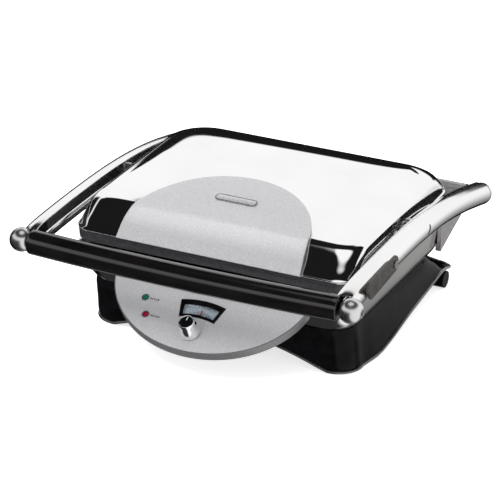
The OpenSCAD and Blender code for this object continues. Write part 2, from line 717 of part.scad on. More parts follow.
// Needle on the knob's shaft, under the window
pointer_z = -4.6;
module dial_pointer() {
    color([0.75, 0.1, 0.1]) on_panel() at_knob() translate([0, 0, pointer_z]) difference() {
        linear_extrude(0.8) union() {
            circle(r = 5.5, $fn = round_fn);
            polygon([[-1.6, 0], [1.6, 0], [0.6, 31], [-0.6, 31]]);
        }
        translate([0, 0, -1]) cylinder(r = stem_r, h = 4, $fn = round_fn);
    }
}

// ---------- Arms and handle ----------

// Height of the arm's centre line along the press
arm_rows = [[-195.4, 129.7], [-180, 132.6], [-160, 134], [-130, 134.8], [-95, 135.1], [-60, 134.9],
    [-27, 134.2], [13, 132], [53, 128.1], [93, 122.1], [133, 113.8], [168, 105.2], [182, 101.5],
    [198.83, 97]];
function arm_slope(i) =
    let (a = arm_rows[max(0, i - 1)], b = arm_rows[min(len(arm_rows) - 1, i + 1)])
    atan2(b[1] - a[1], b[0] - a[0]);

// Channel section: [sideways from the centre line, up], open on the lid's side
lip_x = -7;
arm_wall = 2.4;
arc_n = 10;
function arc_points(r, a0, a1) =
    [for (i = [0:arc_n]) let (a = a0 + (a1 - a0) * i / arc_n) [r * cos(a), r * sin(a)]];
function arm_section() = concat(
    [[lip_x, arm_r]], arc_points(arm_r, 90, -90), [[lip_x + 1, -arm_r], [lip_x - 0.8, -arm_r + 3],
    [lip_x - 1, -arm_r + 7], [lip_x + 0.4, -1.6], [lip_x + 2.4, -2.2]],
    [[lip_x + 2.4, -arm_r + arm_wall]], arc_points(arm_r - arm_wall, -90, 90),
    [[lip_x, arm_r - arm_wall]]);
function liner_section() = concat(
    [[lip_x + 1.6, arm_r - arm_wall - 0.1]], arc_points(arm_r - arm_wall - 0.1, 90, -90),
    [[lip_x + 2.5, -arm_r + arm_wall + 0.1], [lip_x + 2.5, -1.9], [lip_x + 1.6, -1.4]]);

// Section k placed square to the centre line at row i
function placed(section, i, side) =
    let (a = arm_slope(i), c = arm_rows[i])
    [for (p = section) [side * (arm_x + p.x), c[0] - p.y * sin(a), c[1] + p.y * cos(a)]];

module arm_sweep(section, side, i0, i1) {
    rows = [for (i = [i0:i1]) placed(side > 0 ? section : [for (k = [len(section) - 1:-1:0]) section[k]], i, side)];
    skin(rows);
}

arm_i0 = 0;
arm_i1 = len(arm_rows) - 1;
liner_i0 = 2;
liner_i1 = arm_i1 - 2;

module arm_body(side) {
    difference() {
        arm_sweep(arm_section(), side, arm_i0, arm_i1);
        bar(-210, 210, hinge_at, shaft_r);
        bar(-boss_x1, boss_x1, lid_pivot_at, boss_r + 0.05);
        bar(-210, 210, handle_at, ball_r + 0.05);
        bar(190, 205, latch_at, stud_r);
    }
}
module arm_right() { color(chrome_c) arm_body(1); }
module arm_left() { color(chrome_c) arm_body(-1); }

module arm_liner(side) {
    difference() {
        arm_sweep(liner_section(), side, liner_i0, liner_i1);
        bar(-210, 210, lid_pivot_at, boss_r + 0.05);
        bar(190, 205, latch_at, stud_r + 0.5);
    }
}
module arm_liner_right() { color(dark_c) arm_liner(1); }
module arm_liner_left() { color(dark_c) arm_liner(-1); }

// Boss in each arm that the lid's pin turns in
boss_r = 9.5;
boss_x1 = 187;
module pivot_boss() {
    color(steel_c) difference() {
        bar(170, boss_x1 - 0.2, lid_pivot_at, boss_r);
        bar(160, 190, lid_pivot_at, lid_pin_r + run_fit);
    }
}
module pivot_boss_right() { pivot_boss(); }
module pivot_boss_left() { mirror([1, 0, 0]) pivot_boss(); }

module cross_shaft() { color(steel_c) bar(-196, 196, hinge_at, shaft_r); }
module shaft_nuts() {
    color(steel_c) mirrored() difference() {
        bar(bracket_x1 + 0.2, arm_x - 8.2, hinge_at, 9.5);
        bar(170, 190, hinge_at, shaft_r);
    }
}

// Rounded cap at the back end of an arm, and the dark gasket in front of it
cap_len = 15;
cap_slope = arm_slope(arm_i1);
module at_arm_end(side) {
    translate([side * arm_x, arm_rows[arm_i1][0], arm_rows[arm_i1][1]])
        rotate([cap_slope - 90, 0, 0]) children();
}
module arm_cap() {
    at_arm_end(1) translate([0, 0, 1.6]) difference() {
        union() {
            cylinder(r = arm_r, h = 3, $fn = round_fn);
            translate([0, 0, 2]) intersection() {
                sphere(r = arm_r, $fn = round_fn);
                cylinder(r = arm_r + 1, h = 20, $fn = round_fn);
            }
        }
        translate([0, 0, -1]) cylinder(r = arm_r - 4, h = 3, $fn = round_fn);
    }
}
module arm_cap_right() { color(chrome_c) arm_cap(); }
module arm_cap_left() { color(chrome_c) mirror([1, 0, 0]) arm_cap(); }
module cap_gaskets() {
    color(black_c) mirrored() at_arm_end(1) translate([0, 0, 0.1])
        cylinder(r = arm_r - 0.5, h = 1.4, $fn = round_fn);
}

// Grip: a bar bowed forward on a very large circle
grip_half_l = 182;
bow_r = (grip_half_l * grip_half_l + grip_bow * grip_bow) / (2 * grip_bow);
bow_a = asin(grip_half_l / bow_r);
module bowed(r) {
    translate([0, handle_at[0] - grip_bow + bow_r, handle_at[1]]) rotate([0, 0, -90 - bow_a])
        rotate_extrude(angle = 2 * bow_a, $fn = 720) translate([bow_r, 0]) circle(r = r, $fn = round_fn);
}
module handle_grip() {
    color(black_c) difference() {
        bowed(grip_r);
        bowed(5);
    }
}
module handle_rod() { color(steel_c) bowed(4.9); }
ball_x = 195;
// Half section of a ball, its axis upright: flat towards the grip, with a recess for the screw
module ball_section() {
    difference() {
        circle(r = ball_r, $fn = round_fn);
        translate([-20, -20]) square([20, 40]);
        translate([-1, -20]) square([20, 20 - (ball_x - grip_half_l - 1.2)]);
        translate([-1, 9]) square([5, 10]);
    }
}
module handle_balls() {
    color(chrome_c) mirrored() translate([ball_x, handle_at[0], handle_at[1]]) rotate([0, 90, 0])
        rotate_extrude($fn = round_fn) ball_section();
}
module handle_screws() {
    color(steel_c) mirrored() difference() {
        bar(ball_x + 9.05, 207, handle_at, 3.8);
        translate([206, handle_at[0] - 4, handle_at[1] - 0.6]) cube([2, 8, 1.2]);
    }
}

// Storage latch: a plate that swings on a stud on the outside of the right arm
latch_x = 199;
latch_t = 3;
stud_r = 3;
module latch_stud() {
    color(steel_c) {
        bar(195.6, latch_x + latch_t + 1, latch_at, stud_r);
        bar(latch_x + latch_t + 0.3, latch_x + latch_t + 1.6, latch_at, stud_r + 1.6);
    }
}
module lock_latch() {
    color(dark_silver_c) difference() {
        translate([latch_x, 0, 0]) rotate([90, 0, 90]) linear_extrude(latch_t) hull() {
            translate(latch_at) circle(r = 9.5, $fn = round_fn);
            translate([latch_at[0] - 66, latch_at[1] + 2]) circle(r = 6, $fn = round_fn);
            translate([latch_at[0] - 60, latch_at[1] - 8]) circle(r = 6, $fn = round_fn);
        }
        bar(190, 210, latch_at, stud_r + run_fit);
    }
}

base_bowl();
base_skirt();
bottom_cover();
front_feet();
rear_feet();
panel_housing();
control_panel();
window_frame();
window_lens();
ready_lens();
power_lens();
lamp_holder();
thermostat();
lower_grill_plate();
lower_element();
lower_reflector();
lower_plate_screws();
hinge_bracket_left();
hinge_bracket_right();
cord_gland();
terminal_block();
base_screws();
arm_left();
arm_right();
arm_liner_left();
arm_liner_right();
cross_shaft();
shaft_nuts();
handle_grip();
handle_rod();
handle_balls();
handle_screws();
arm_cap_left();
arm_cap_right();
cap_gaskets();
pivot_boss_left();
pivot_boss_right();
latch_stud();
lock_latch();
lid_cover();
lid_trim();
lid_fascia();
lid_badge();
upper_grill_plate();
upper_element();
upper_reflector();
upper_plate_screws();
lid_pivot_left();
lid_pivot_right();
thermal_fuse();
thermostat_knob();
knob_grip();
dial_pointer();
dial_scale();
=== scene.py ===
"""Looks of the panini press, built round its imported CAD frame. Sizes and places of pieces are in
millimetres, and mesh_object() and plate() turn them into metres. Lights and the camera are placed
in metres."""

import math

import bmesh
import bpy
import numpy as np
from mathutils import Matrix, Vector


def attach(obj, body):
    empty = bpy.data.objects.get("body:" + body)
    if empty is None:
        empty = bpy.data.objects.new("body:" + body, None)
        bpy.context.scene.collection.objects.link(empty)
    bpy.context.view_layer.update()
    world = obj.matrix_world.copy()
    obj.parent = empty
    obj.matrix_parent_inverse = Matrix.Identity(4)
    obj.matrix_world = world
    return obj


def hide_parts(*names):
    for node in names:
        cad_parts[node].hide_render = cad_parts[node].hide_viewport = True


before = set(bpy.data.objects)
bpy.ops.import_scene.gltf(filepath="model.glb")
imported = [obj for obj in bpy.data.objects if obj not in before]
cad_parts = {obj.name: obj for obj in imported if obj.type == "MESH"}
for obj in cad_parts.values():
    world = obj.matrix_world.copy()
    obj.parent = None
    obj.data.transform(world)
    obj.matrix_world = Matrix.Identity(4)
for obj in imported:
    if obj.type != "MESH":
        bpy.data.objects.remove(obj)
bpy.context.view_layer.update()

MM = 0.001

# Middle of the handle and of the latch's stud, as (y, z)
HANDLE = (-195.4, 129.7)
LATCH = (-96.0, 140.5)

# Outline that the base and the lid share: half width, front, back and corner radii
RIM_W, RIM_Y0, RIM_Y1 = 167.5, -134.0, 150.0
FRONT_R, BACK_R = 23.0, 26.0
# Heights of the bowl's rim, the lid's lower edge and the edge of its domed top
RIM_Z, FLANGE_Z, SHOULDER_Z = 105.5, 124.0, 151.0
# Domed top: its rise, half width, half depth and middle
CROWN_H, CROWN_X, CROWN_Y, CROWN_MID = 14.0, 152.0, 108.0, 13.0
# Thickness of the bowl and the lid cover
COVER_T = 1.6

# Sloping panel: its origin, slope in degrees, half width and length, and the knob's place on it
PANEL_AT = (0.0, -114.8, 88.3)
PANEL_SLOPE = 30.0
PANEL_W, PANEL_LEN = 118.0, 97.0
KNOB_AT = (0.0, -72.0)


# ---------- Mesh helpers ----------

def add_object(name, data):
    """A new object in the scene."""
    obj = bpy.data.objects.new(name, data)
    bpy.context.scene.collection.objects.link(obj)
    return obj


def mesh_object(name, verts, faces, material, smooth=True):
    """A mesh from points in millimetres, normals made consistent."""
    mesh = bpy.data.meshes.new(name)
    mesh.from_pydata([tuple(c * MM for c in v) for v in verts], [], faces)
    mesh.validate()
    bm = bmesh.new()
    bm.from_mesh(mesh)
    bmesh.ops.recalc_face_normals(bm, faces=bm.faces)
    bm.to_mesh(mesh)
    bm.free()
    for polygon in mesh.polygons:
        polygon.use_smooth = smooth
    mesh.materials.append(material)
    return add_object(name, mesh)


def sharpen(obj, angle):
    """Marks edges sharper than angle, so that smooth shading stops there."""
    bm = bmesh.new()
    bm.from_mesh(obj.data)
    for edge in bm.edges:
        if len(edge.link_faces) == 2 and edge.calc_face_angle() > math.radians(angle):
            edge.smooth = False
    bm.to_mesh(obj.data)
    bm.free()
    return obj


def keep(obj, body, slot, *nodes):
    """Puts a finished piece on its body, in place of its CAD nodes. The slot argument is not used."""
    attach(obj, body)
    if nodes:
        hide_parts(*nodes)
    return obj


def pchip(keys, values, at):
    """Smooth curve through rows of values, without overshoot."""
    x = np.asarray(keys, float)
    y = np.asarray(values, float).reshape(len(x), -1)
    h = np.diff(x)[:, None]
    d = np.diff(y, axis=0) / h
    slope = np.zeros_like(y)
    slope[0], slope[-1] = d[0], d[-1]
    w1 = 2 * h[1:] + h[:-1]
    w2 = h[1:] + 2 * h[:-1]
    same = d[:-1] * d[1:] > 0
    safe0 = np.where(same, d[:-1], 1)
    safe1 = np.where(same, d[1:], 1)
    slope[1:-1] = np.where(same, (w1 + w2) / (w1 / safe0 + w2 / safe1), 0)
    at = np.clip(np.atleast_1d(np.asarray(at, float)), x[0], x[-1])
    i = np.clip(np.searchsorted(x, at, side="right") - 1, 0, len(h) - 1)
    t = ((at - x[i]) / h[i, 0])[:, None]
    hi = h[i]
    return ((1 + 2 * t) * (1 - t) ** 2 * y[i] + t * (1 - t) ** 2 * hi * slope[i]
            + t * t * (3 - 2 * t) * y[i + 1] + t * t * (t - 1) * hi * slope[i + 1])


def table(rows, t):
    """One value of a two-column table, by a smooth curve."""
    return float(pchip([r[0] for r in rows], [r[1] for r in rows], t)[0, 0])


def refine(rows, n):
    """n rows through the given ones, spaced by distance."""
    rows = np.asarray(rows, float)
    step = np.linalg.norm(np.diff(rows, axis=0), axis=1)
    key = np.concatenate([[0], np.cumsum(np.maximum(step, 1e-6))])
    return pchip(key, rows, np.linspace(0, key[-1], n))


def arc(cx, cy, r, a0, a1, n):
    """Points of an arc from angle a0 to a1, in degrees, in n steps."""
    return [(cx + r * math.cos(math.radians(a0 + (a1 - a0) * i / n)),
             cy + r * math.sin(math.radians(a0 + (a1 - a0) * i / n))) for i in range(n + 1)]


def outline(w, y0, y1, rf, rb, corner=18, side=22):
    """Rounded rectangle of half width w from y0 to y1, with front radius rf and back radius rb,
    counter-clockwise, as (x, y) points."""
    corners = [arc(w - rf, y0 + rf, rf, -90, 0, corner),
               arc(w - rb, y1 - rb, rb, 0, 90, corner),
               arc(-w + rb, y1 - rb, rb, 90, 180, corner),
               arc(-w + rf, y0 + rf, rf, 180, 270, corner)]
    points = []
    for k, part in enumerate(corners):
        points += part
        end, start = np.array(part[-1]), np.array(corners[(k + 1) % 4][0])
        points += [tuple(end + (start - end) * i / side) for i in range(1, side)]
    return points


def ring(w, y0, y1, rf, rb, z):
    """The same outline as (x, y, z) points at one height."""
    return [(x, y, z) for x, y in outline(w, y0, y1, rf, rb)]


def loft(name, rings, material, loop=False):
    """Skin through rings of equal length; loop joins the last ring to the first, and otherwise both
    ends are closed."""
    n = len(rings[0])
    verts = [p for r in rings for p in r]
    faces = []
    for i in range(len(rings) - (0 if loop else 1)):
        j = (i + 1) % len(rings)
        faces += [(i * n + k, i * n + (k + 1) % n, j * n + (k + 1) % n, j * n + k)
                  for k in range(n)]
    if not loop:
        faces.append(tuple(range(n)))
        faces.append(tuple((len(rings) - 1) * n + k for k in range(n)))
    return mesh_object(name, verts, faces, material)


def lathe(name, profile, material, matrix, n=72):
    """Solid of revolution round Z from (radius, z) points; matrix places it, in millimetres."""
    verts, rings = [], []
    for r, z in profile:
        if r < 1e-6:
            rings.append([len(verts)])
            verts.append((0, 0, z))
        else:
            rings.append(list(range(len(verts), len(verts) + n)))
            verts += [(r * math.cos(2 * math.pi * k / n), r * math.sin(2 * math.pi * k / n), z)
                      for k in range(n)]
    faces = []
    for a, b in zip(rings, rings[1:]):
        for k in range(n):
            k1 = (k + 1) % n
            if len(a) == 1 and len(b) == n:
                faces.append((a[0], b[k], b[k1]))
            elif len(b) == 1 and len(a) == n:
                faces.append((a[k], a[k1], b[0]))
            elif len(a) == n and len(b) == n:
                faces.append((a[k], a[k1], b[k1], b[k]))
    verts = [tuple(matrix @ Vector(v)) for v in verts]
    return mesh_object(name, verts, faces, material)


def plate(name, loops, z0, z1, bevel, material, matrix, steps=3):
    """Flat plate between z0 and z1 from closed outlines, the later ones holes, edges rounded."""
    curve = bpy.data.curves.new(name, "CURVE")
    curve.dimensions = "2D"
    curve.fill_mode = "BOTH"
    curve.extrude = max(1e-6, ((z1 - z0) / 2 - bevel) * MM)
    curve.bevel_depth = bevel * MM
    curve.bevel_resolution = steps
    curve.offset = -bevel * MM
    for loop in loops:
        spline = curve.splines.new("POLY")
        spline.points.add(len(loop) - 1)
        for point, (x, y) in zip(spline.points, loop):
            point.co = (x * MM, y * MM, 0, 1)
        spline.use_cyclic_u = True
    holder = add_object(name + "_curve", curve)
    bpy.context.view_layer.update()
    graph = bpy.context.evaluated_depsgraph_get()
    mesh = bpy.data.meshes.new_from_object(holder.evaluated_get(graph))
    bpy.data.objects.remove(holder)
    shift = Matrix.Translation((0, 0, (z0 + z1) / 2 * MM))
    place = matrix.copy()
    place.translation = matrix.translation * MM
    mesh.transform(place @ shift)
    bm = bmesh.new()
    bm.from_mesh(mesh)
    bmesh.ops.remove_doubles(bm, verts=bm.verts, dist=1e-6)
    bmesh.ops.recalc_face_normals(bm, faces=bm.faces)
    bm.to_mesh(mesh)
    bm.free()
    for polygon in mesh.polygons:
        polygon.use_smooth = True
    mesh.materials.clear()
    mesh.materials.append(material)
    return sharpen(add_object(name, mesh), 28)


ON_PANEL = Matrix.Translation(PANEL_AT) @ Matrix.Rotation(math.radians(PANEL_SLOPE), 4, "X")
AT_KNOB = ON_PANEL @ Matrix.Translation((KNOB_AT[0], KNOB_AT[1], 0))


def along_x(x, at, side):
    """Matrix whose +Z runs outward along X from x and at = (y, z), mirrored for side -1."""
    turn = Matrix.Rotation(math.radians(90 * side), 4, "Y")
    return Matrix.Translation((side * x, at[0], at[1])) @ turn


# ---------- Materials ----------

def node_tree(name):
    """A new material with its nodes, links and shader."""
    mat = bpy.data.materials.new(name)
    mat.use_nodes = True
    return mat, mat.node_tree.nodes, mat.node_tree.links, mat.node_tree.nodes["Principled BSDF"]


def put(node, values):
    """Sets a node's inputs by name or number."""
    for key, value in values.items():
        node.inputs[key].default_value = value


def noise(nodes, links, coords, scale, detail=3.0, stretch=(1, 1, 1)):
    """Noise of the given scale per metre, from 0 to 1."""
    mapping = nodes.new("ShaderNodeMapping")
    put(mapping, {"Scale": stretch})
    links.new(coords, mapping.inputs["Vector"])
    tex = nodes.new("ShaderNodeTexNoise")
    put(tex, {"Scale": scale, "Detail": detail})
    links.new(mapping.outputs["Vector"], tex.inputs["Vector"])
    return tex.outputs["Fac"]


def spread(nodes, links, fac, low, high):
    """The middle of a noise stretched to run from low to high."""
    span = nodes.new("ShaderNodeMapRange")
    put(span, {"From Min": 0.3, "From Max": 0.7, "To Min": low, "To Max": high})
    links.new(fac, span.inputs["Value"])
    return span.outputs["Result"]


def tint(nodes, links, shader, fac, dark, light, ends=(0, 1)):
    """Base colour that runs from dark to light between two values of a noise."""
    ramp = nodes.new("ShaderNodeValToRGB")
    for k, colour in enumerate((dark, light)):
        ramp.color_ramp.elements[k].position = ends[k]
        ramp.color_ramp.elements[k].color = (*colour, 1)
    links.new(fac, ramp.inputs["Fac"])
    links.new(ramp.outputs["Color"], shader.inputs["Base Color"])


def finish(name, dark, light, metallic, rough, tint_scale, rough_scale, bump=(0.0, 100.0),
           coat=0.0, stretch=(1, 1, 1), specular=0.5, detail=3.0):
    """Principled finish: colour from dark to light, roughness from rough[0] to rough[1],
    bump as (strength, scale). Scales are per metre."""
    mat, nodes, links, shader = node_tree(name)
    coords = nodes.new("ShaderNodeTexCoord").outputs["Object"]
    tint(nodes, links, shader, noise(nodes, links, coords, tint_scale, detail, stretch), dark, light,
         (0.3, 0.7))
    roughness = spread(nodes, links, noise(nodes, links, coords, rough_scale, 4, stretch), *rough)
    links.new(roughness, shader.inputs["Roughness"])
    put(shader, {"Metallic": metallic, "Specular IOR Level": specular})
    if coat:
        put(shader, {"Coat Weight": coat, "Coat Roughness": 0.06})
    if bump[0]:
        height = nodes.new("ShaderNodeBump")
        put(height, {"Strength": bump[0], "Distance": 0.0005})
        links.new(noise(nodes, links, coords, bump[1], 4, stretch), height.inputs["Height"])
        links.new(height.outputs["Normal"], shader.inputs["Normal"])
    return mat


chrome = finish("chrome", (0.90, 0.90, 0.91), (0.95, 0.95, 0.96), 1.0, (0.03, 0.06),
    14, 30, bump=(0.012, 60))
# The bowl's rougher finish is its own; its darker, warm base colour is painted shade and painted brown
# reflection on the body's side
shaded_bowl_chrome = finish("shaded_bowl_chrome", (0.80, 0.785, 0.775), (0.88, 0.87, 0.86), 1.0, (0.10, 0.16),
    14, 30, bump=(0.015, 60))
arm_chrome = finish("arm_chrome", (0.86, 0.855, 0.85), (0.93, 0.93, 0.93), 1.0, (0.12, 0.18),
    18, 40, bump=(0.02, 120), stretch=(1, 0.2, 1))
ball_chrome = finish("ball_chrome", (0.66, 0.66, 0.67), (0.78, 0.78, 0.79), 1.0, (0.24, 0.32),
    60, 90, bump=(0.02, 200))
silver = finish("fascia_silver", (0.34, 0.34, 0.348), (0.56, 0.56, 0.572), 0.25, (0.30, 0.40),
    1100, 1100, bump=(0.18, 1200), detail=2)
badge_silver = finish("badge_silver", (0.60, 0.60, 0.61), (0.72, 0.72, 0.73), 0.6, (0.25, 0.34),
    900, 900, bump=(0.05, 1500))
panel_silver = finish("panel_silver", (0.37, 0.37, 0.382), (0.60, 0.60, 0.617), 0.22, (0.36, 0.48),
    1200, 1200, bump=(0.16, 1500), detail=2)
lip_grey = finish("lip_grey", (0.13, 0.13, 0.135), (0.20, 0.20, 0.205), 0.5, (0.30, 0.42),
    900, 900, bump=(0.08, 1500))
trim_dark = finish("trim_dark", (0.020, 0.020, 0.022), (0.036, 0.036, 0.040), 0.0, (0.26, 0.38),
    300, 500, bump=(0.06, 1400))
liner_dark = finish("liner_dark", (0.014, 0.013, 0.014), (0.034, 0.031, 0.032), 0.0, (0.34, 0.5),
    200, 500, bump=(0.10, 1200), specular=0.3)
gloss_black = finish("gloss_black", (0.002, 0.002, 0.002), (0.005, 0.005, 0.006), 0.0, (0.05, 0.10),
    60, 140, bump=(0.015, 300), specular=0.07)
# Black of the skirt's edge bead, lighter than the skirt's own black: a painted highlight along the
# lower edge; its strong sheen and coat are real gloss
bead_highlight_black = finish("bead_highlight_black", (0.020, 0.020, 0.020), (0.045, 0.045, 0.045), 0.0, (0.16, 0.24),
    60, 140, bump=(0.015, 300), specular=1.0, coat=1.0)
grip_black = finish("grip_black", (0.002, 0.002, 0.002), (0.006, 0.005, 0.005), 0.0, (0.13, 0.20),
    90, 260, bump=(0.02, 500), coat=0.6, stretch=(0.25, 1, 1), specular=0.45)
rubber = finish("rubber", (0.012, 0.012, 0.012), (0.026, 0.025, 0.025), 0.0, (0.6, 0.8),
    500, 800, bump=(0.25, 1500))
steel = finish("steel", (0.34, 0.34, 0.35), (0.48, 0.48, 0.49), 1.0, (0.22, 0.36),
    500, 700, bump=(0.08, 900), stretch=(1, 0.15, 1))
coated = finish("nonstick", (0.008, 0.008, 0.009), (0.035, 0.034, 0.036), 0.1, (0.38, 0.6),
    2200, 900, bump=(0.3, 1600))
# The hinge brackets' darker grey base colour is painted shade
shaded_bracket_metal = finish("shaded_bracket_metal", (0.30, 0.29, 0.29), (0.42, 0.41, 0.41), 0.7, (0.26, 0.4),
    200, 500, bump=(0.06, 700))
latch_metal = finish("latch_metal", (0.035, 0.031, 0.029), (0.085, 0.075, 0.070), 0.6, (0.24, 0.4),
    60, 300, bump=(0.06, 700))
scale_white = finish("scale_white", (0.50, 0.58, 0.64), (0.68, 0.75, 0.80), 0.0, (0.35, 0.5),
    400, 600, bump=(0.03, 900))
mark_black = finish("mark_black", (0.01, 0.01, 0.01), (0.03, 0.03, 0.03), 0.0, (0.45, 0.6),
    500, 700)
needle_red = finish("needle_red", (0.45, 0.02, 0.02), (0.6, 0.04, 0.03), 0.0, (0.35, 0.5),
    500, 700)


def glass(name, colour, weight, rough, glow=0.0):
    """Tinted clear plastic with faint mottling."""
    mat, nodes, links, shader = node_tree(name)
    coords = nodes.new("ShaderNodeTexCoord").outputs["Object"]
    tint(nodes, links, shader, noise(nodes, links, coords, 500), [c * 0.8 for c in colour], colour)
    links.new(spread(nodes, links, noise(nodes, links, coords, 300), rough, rough + 0.06),
              shader.inputs["Roughness"])
    put(shader, {"Transmission Weight": weight, "IOR": 1.45})
    if glow:
        put(shader, {"Emission Color": (*colour, 1), "Emission Strength": glow})
    return mat


clear = glass("window_clear", (0.93, 0.97, 1.0), 1.0, 0.0)
green = glass("lens_green", (0.01, 0.16, 0.09), 0.35, 0.06, glow=0.03)
red = glass("lens_red", (0.34, 0.005, 0.04), 0.35, 0.06, glow=0.04)

# Finish of every CAD node that stays in view
CAD_FINISH = {
    "bottom_cover": trim_dark, "front_feet": rubber, "lamp_holder": liner_dark, "thermostat": steel,
    "lower_grill_plate": coated, "upper_grill_plate": coated, "lower_element": steel,
    "upper_element": steel, "lower_reflector": steel, "upper_reflector": steel,
    "lower_plate_screws": steel, "upper_plate_screws": steel, "hinge_bracket_left": shaded_bracket_metal,
    "hinge_bracket_right": shaded_bracket_metal, "cord_gland": rubber, "terminal_block": liner_dark,
    "base_screws": steel, "cross_shaft": steel, "shaft_nuts": steel, "handle_rod": steel,
    "pivot_boss_left": steel, "pivot_boss_right": steel, "thermal_fuse": steel,
    "lid_pivot_left": steel, "lid_pivot_right": steel, "latch_stud": steel, "dial_pointer": needle_red,
    "dial_scale": scale_white, "rear_feet": gloss_black, "handle_screws": steel}


def repaint_cad():
    """Gives the CAD nodes that stay in view their finishes."""
    for name, mat in CAD_FINISH.items():
        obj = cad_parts[name]
        if not obj.material_slots:
            obj.data.materials.append(mat)
        for k in range(len(obj.material_slots)):
            obj.material_slots[k].material = mat


# ---------- Lid ----------

# Lid cover's wall from the lower edge up: half width, front, back, corner radii and height
LID_WALL = [
    (RIM_W - 0.4, RIM_Y0 + 1, RIM_Y1 - 1, FRONT_R, BACK_R, FLANGE_Z + 1.4),
    (RIM_W - 0.8, RIM_Y0 + 6, RIM_Y1 - 2, FRONT_R, BACK_R + 2, FLANGE_Z + 6),
    (RIM_W - 1.4, RIM_Y0 + 13, RIM_Y1 - 4, FRONT_R + 1, BACK_R + 8, FLANGE_Z + 12),
    (RIM_W - 2.6, RIM_Y0 + 20, RIM_Y1 - 7.5, FRONT_R + 2, BACK_R + 13, FLANGE_Z + 18),
    (RIM_W - 4.2, RIM_Y0 + 25, RIM_Y1 - 12, FRONT_R + 3, BACK_R + 18, FLANGE_Z + 22),
    (RIM_W - 7, RIM_Y0 + 29.5, RIM_Y1 - 18, FRONT_R + 3, BACK_R + 22, FLANGE_Z + 24.8),
    (RIM_W - 11, RIM_Y0 + 34, RIM_Y1 - 24, FRONT_R + 3, BACK_R + 24, FLANGE_Z + 26.4),
]
# Sizes of the domed top's rings as shares of the whole, from the edge inwards
CROWN_STEPS = [1, 0.985, 0.965, 0.94, 0.91, 0.88, 0.84, 0.8, 0.75, 0.7, 0.63, 0.55, 0.45, 0.34,
               0.22, 0.1, 0.03]
# Corner radii of the domed top's edge
CROWN_FRONT_R, CROWN_BACK_R = 25, 46


def crown_z(x, y):
    """Height of the domed top, which rolls down faster near the sides and the back."""
    u, v = min(1, abs(x) / CROWN_X), min(1, abs(y - CROWN_MID) / CROWN_Y)
    edge = min(1, max(0, (y + 60) / 90))
    across = 1 - (0.85 - 0.45 * edge) * u ** 2 - (0.15 + 0.45 * edge) * u ** 8
    along = 1 - v ** 2 if y < CROWN_MID else 1 - 0.3 * v ** 2 - 0.7 * v ** 5
    return SHOULDER_Z + CROWN_H * across * along


def crown_ring(k, drop):
    """Ring of the domed top at the share k of its size, sunk by drop."""
    points = outline(CROWN_X * k, CROWN_MID - CROWN_Y * k, CROWN_MID + CROWN_Y * k,
                     CROWN_FRONT_R * k, CROWN_BACK_R * k)
    return [(x, y, crown_z(x, y) - drop) for x, y in points]


def make_lid_cover():
    """Chrome cover: inside of the dome and wall, rolled lip, then the outside."""
    def row(r, t):
        return ring(r[0] - t, r[1] + t, r[2] - t, max(1, r[3] - t), max(1, r[4] - t),
                    r[5] - 0.7 * t)

    wall = refine(LID_WALL, 26)
    # The lip's rings, as how far each stands out and up; it stands out 1 mm at most at the back
    lip_rows = [(-3, -1), (1.1, -1), (1.5, -0.7), (1.5, 0.3), (1.2, 0.6), (0.2, 0.8), (-0.2, 1.0)]
    lip = [(RIM_W + g, RIM_Y0 - g, RIM_Y1 + min(g, 1), FRONT_R + g, BACK_R + g, FLANGE_Z + z)
           for g, z in lip_rows]
    rings = ([crown_ring(k, COVER_T) for k in reversed(CROWN_STEPS)]
             + [row(r, COVER_T) for r in wall[::-1]]
             + [ring(*r) for r in lip]
             + [row(r, 0) for r in wall]
             + [crown_ring(k, 0) for k in CROWN_STEPS])
    keep(sharpen(loft("lid_shell", rings, chrome), 50), "lid", "chrome", "lid_cover")


def rim_rings(profile):
    """Rings round the shared outline from (how far out, height) points."""
    return [ring(RIM_W + g, RIM_Y0 - g, RIM_Y1 + g, FRONT_R + g, BACK_R + g, z) for g, z in profile]


def make_lid_trim():
    """Dark band under the lid cover, with a fine groove."""
    z0, z1 = 110.5, FLANGE_Z - 1.1
    inside = -11.9
    profile = [(inside, z0 + 0.8), (-1.4, z0 + 0.05), (-0.2, z0 + 0.4), (0.4, z0 + 1.5),
               (0.7, z1 - 4.4), (0.3, z1 - 4.0), (0.3, z1 - 3.5), (0.9, z1 - 3.1),
               (0.95, z1 - 1.0), (0.5, z1 - 0.1), (inside, z1 - 0.1)]
    band = loft("lid_band", rim_rings(profile), trim_dark, loop=True)
    keep(sharpen(band, 40), "lid", "dark_plastic", "lid_trim")


# Half-moon: middle of its arc, radius and height over the dome
MOON_MID, MOON_R, MOON_T = -124.0, 107.0, 3.4
# Rows of its domed part, as degrees round the arc from the back
MOON_ANGLES = (1.5, 3, 5, 7.5, 10, 13, 16, 20, 24, 28, 32, 37, 42, 47, 52, 57, 62, 66, 70, 73)
# Its bend over the lid's front, as y, z and half width
MOON_FRONT = [(-99, 154.6, 104.2), (-106, 152.6, 105.3), (-113.5, 149, 106.6),
              (-120.5, 144.2, 107.8), (-127, 138.4, 108.8), (-132.5, 132, 109.6),
              (-136.8, 127.2, 110.1), (-138.2, 125.6, 110.3)]
# Share of the dome's curve that the bend starts with, the rows over which it fades, and the height
# on the dome's curve that counts as level
MOON_BLEND, MOON_BLEND_ROWS = 0.25, 5.0
MOON_LEVEL = SHOULDER_Z + CROWN_H * 0.08 + MOON_T


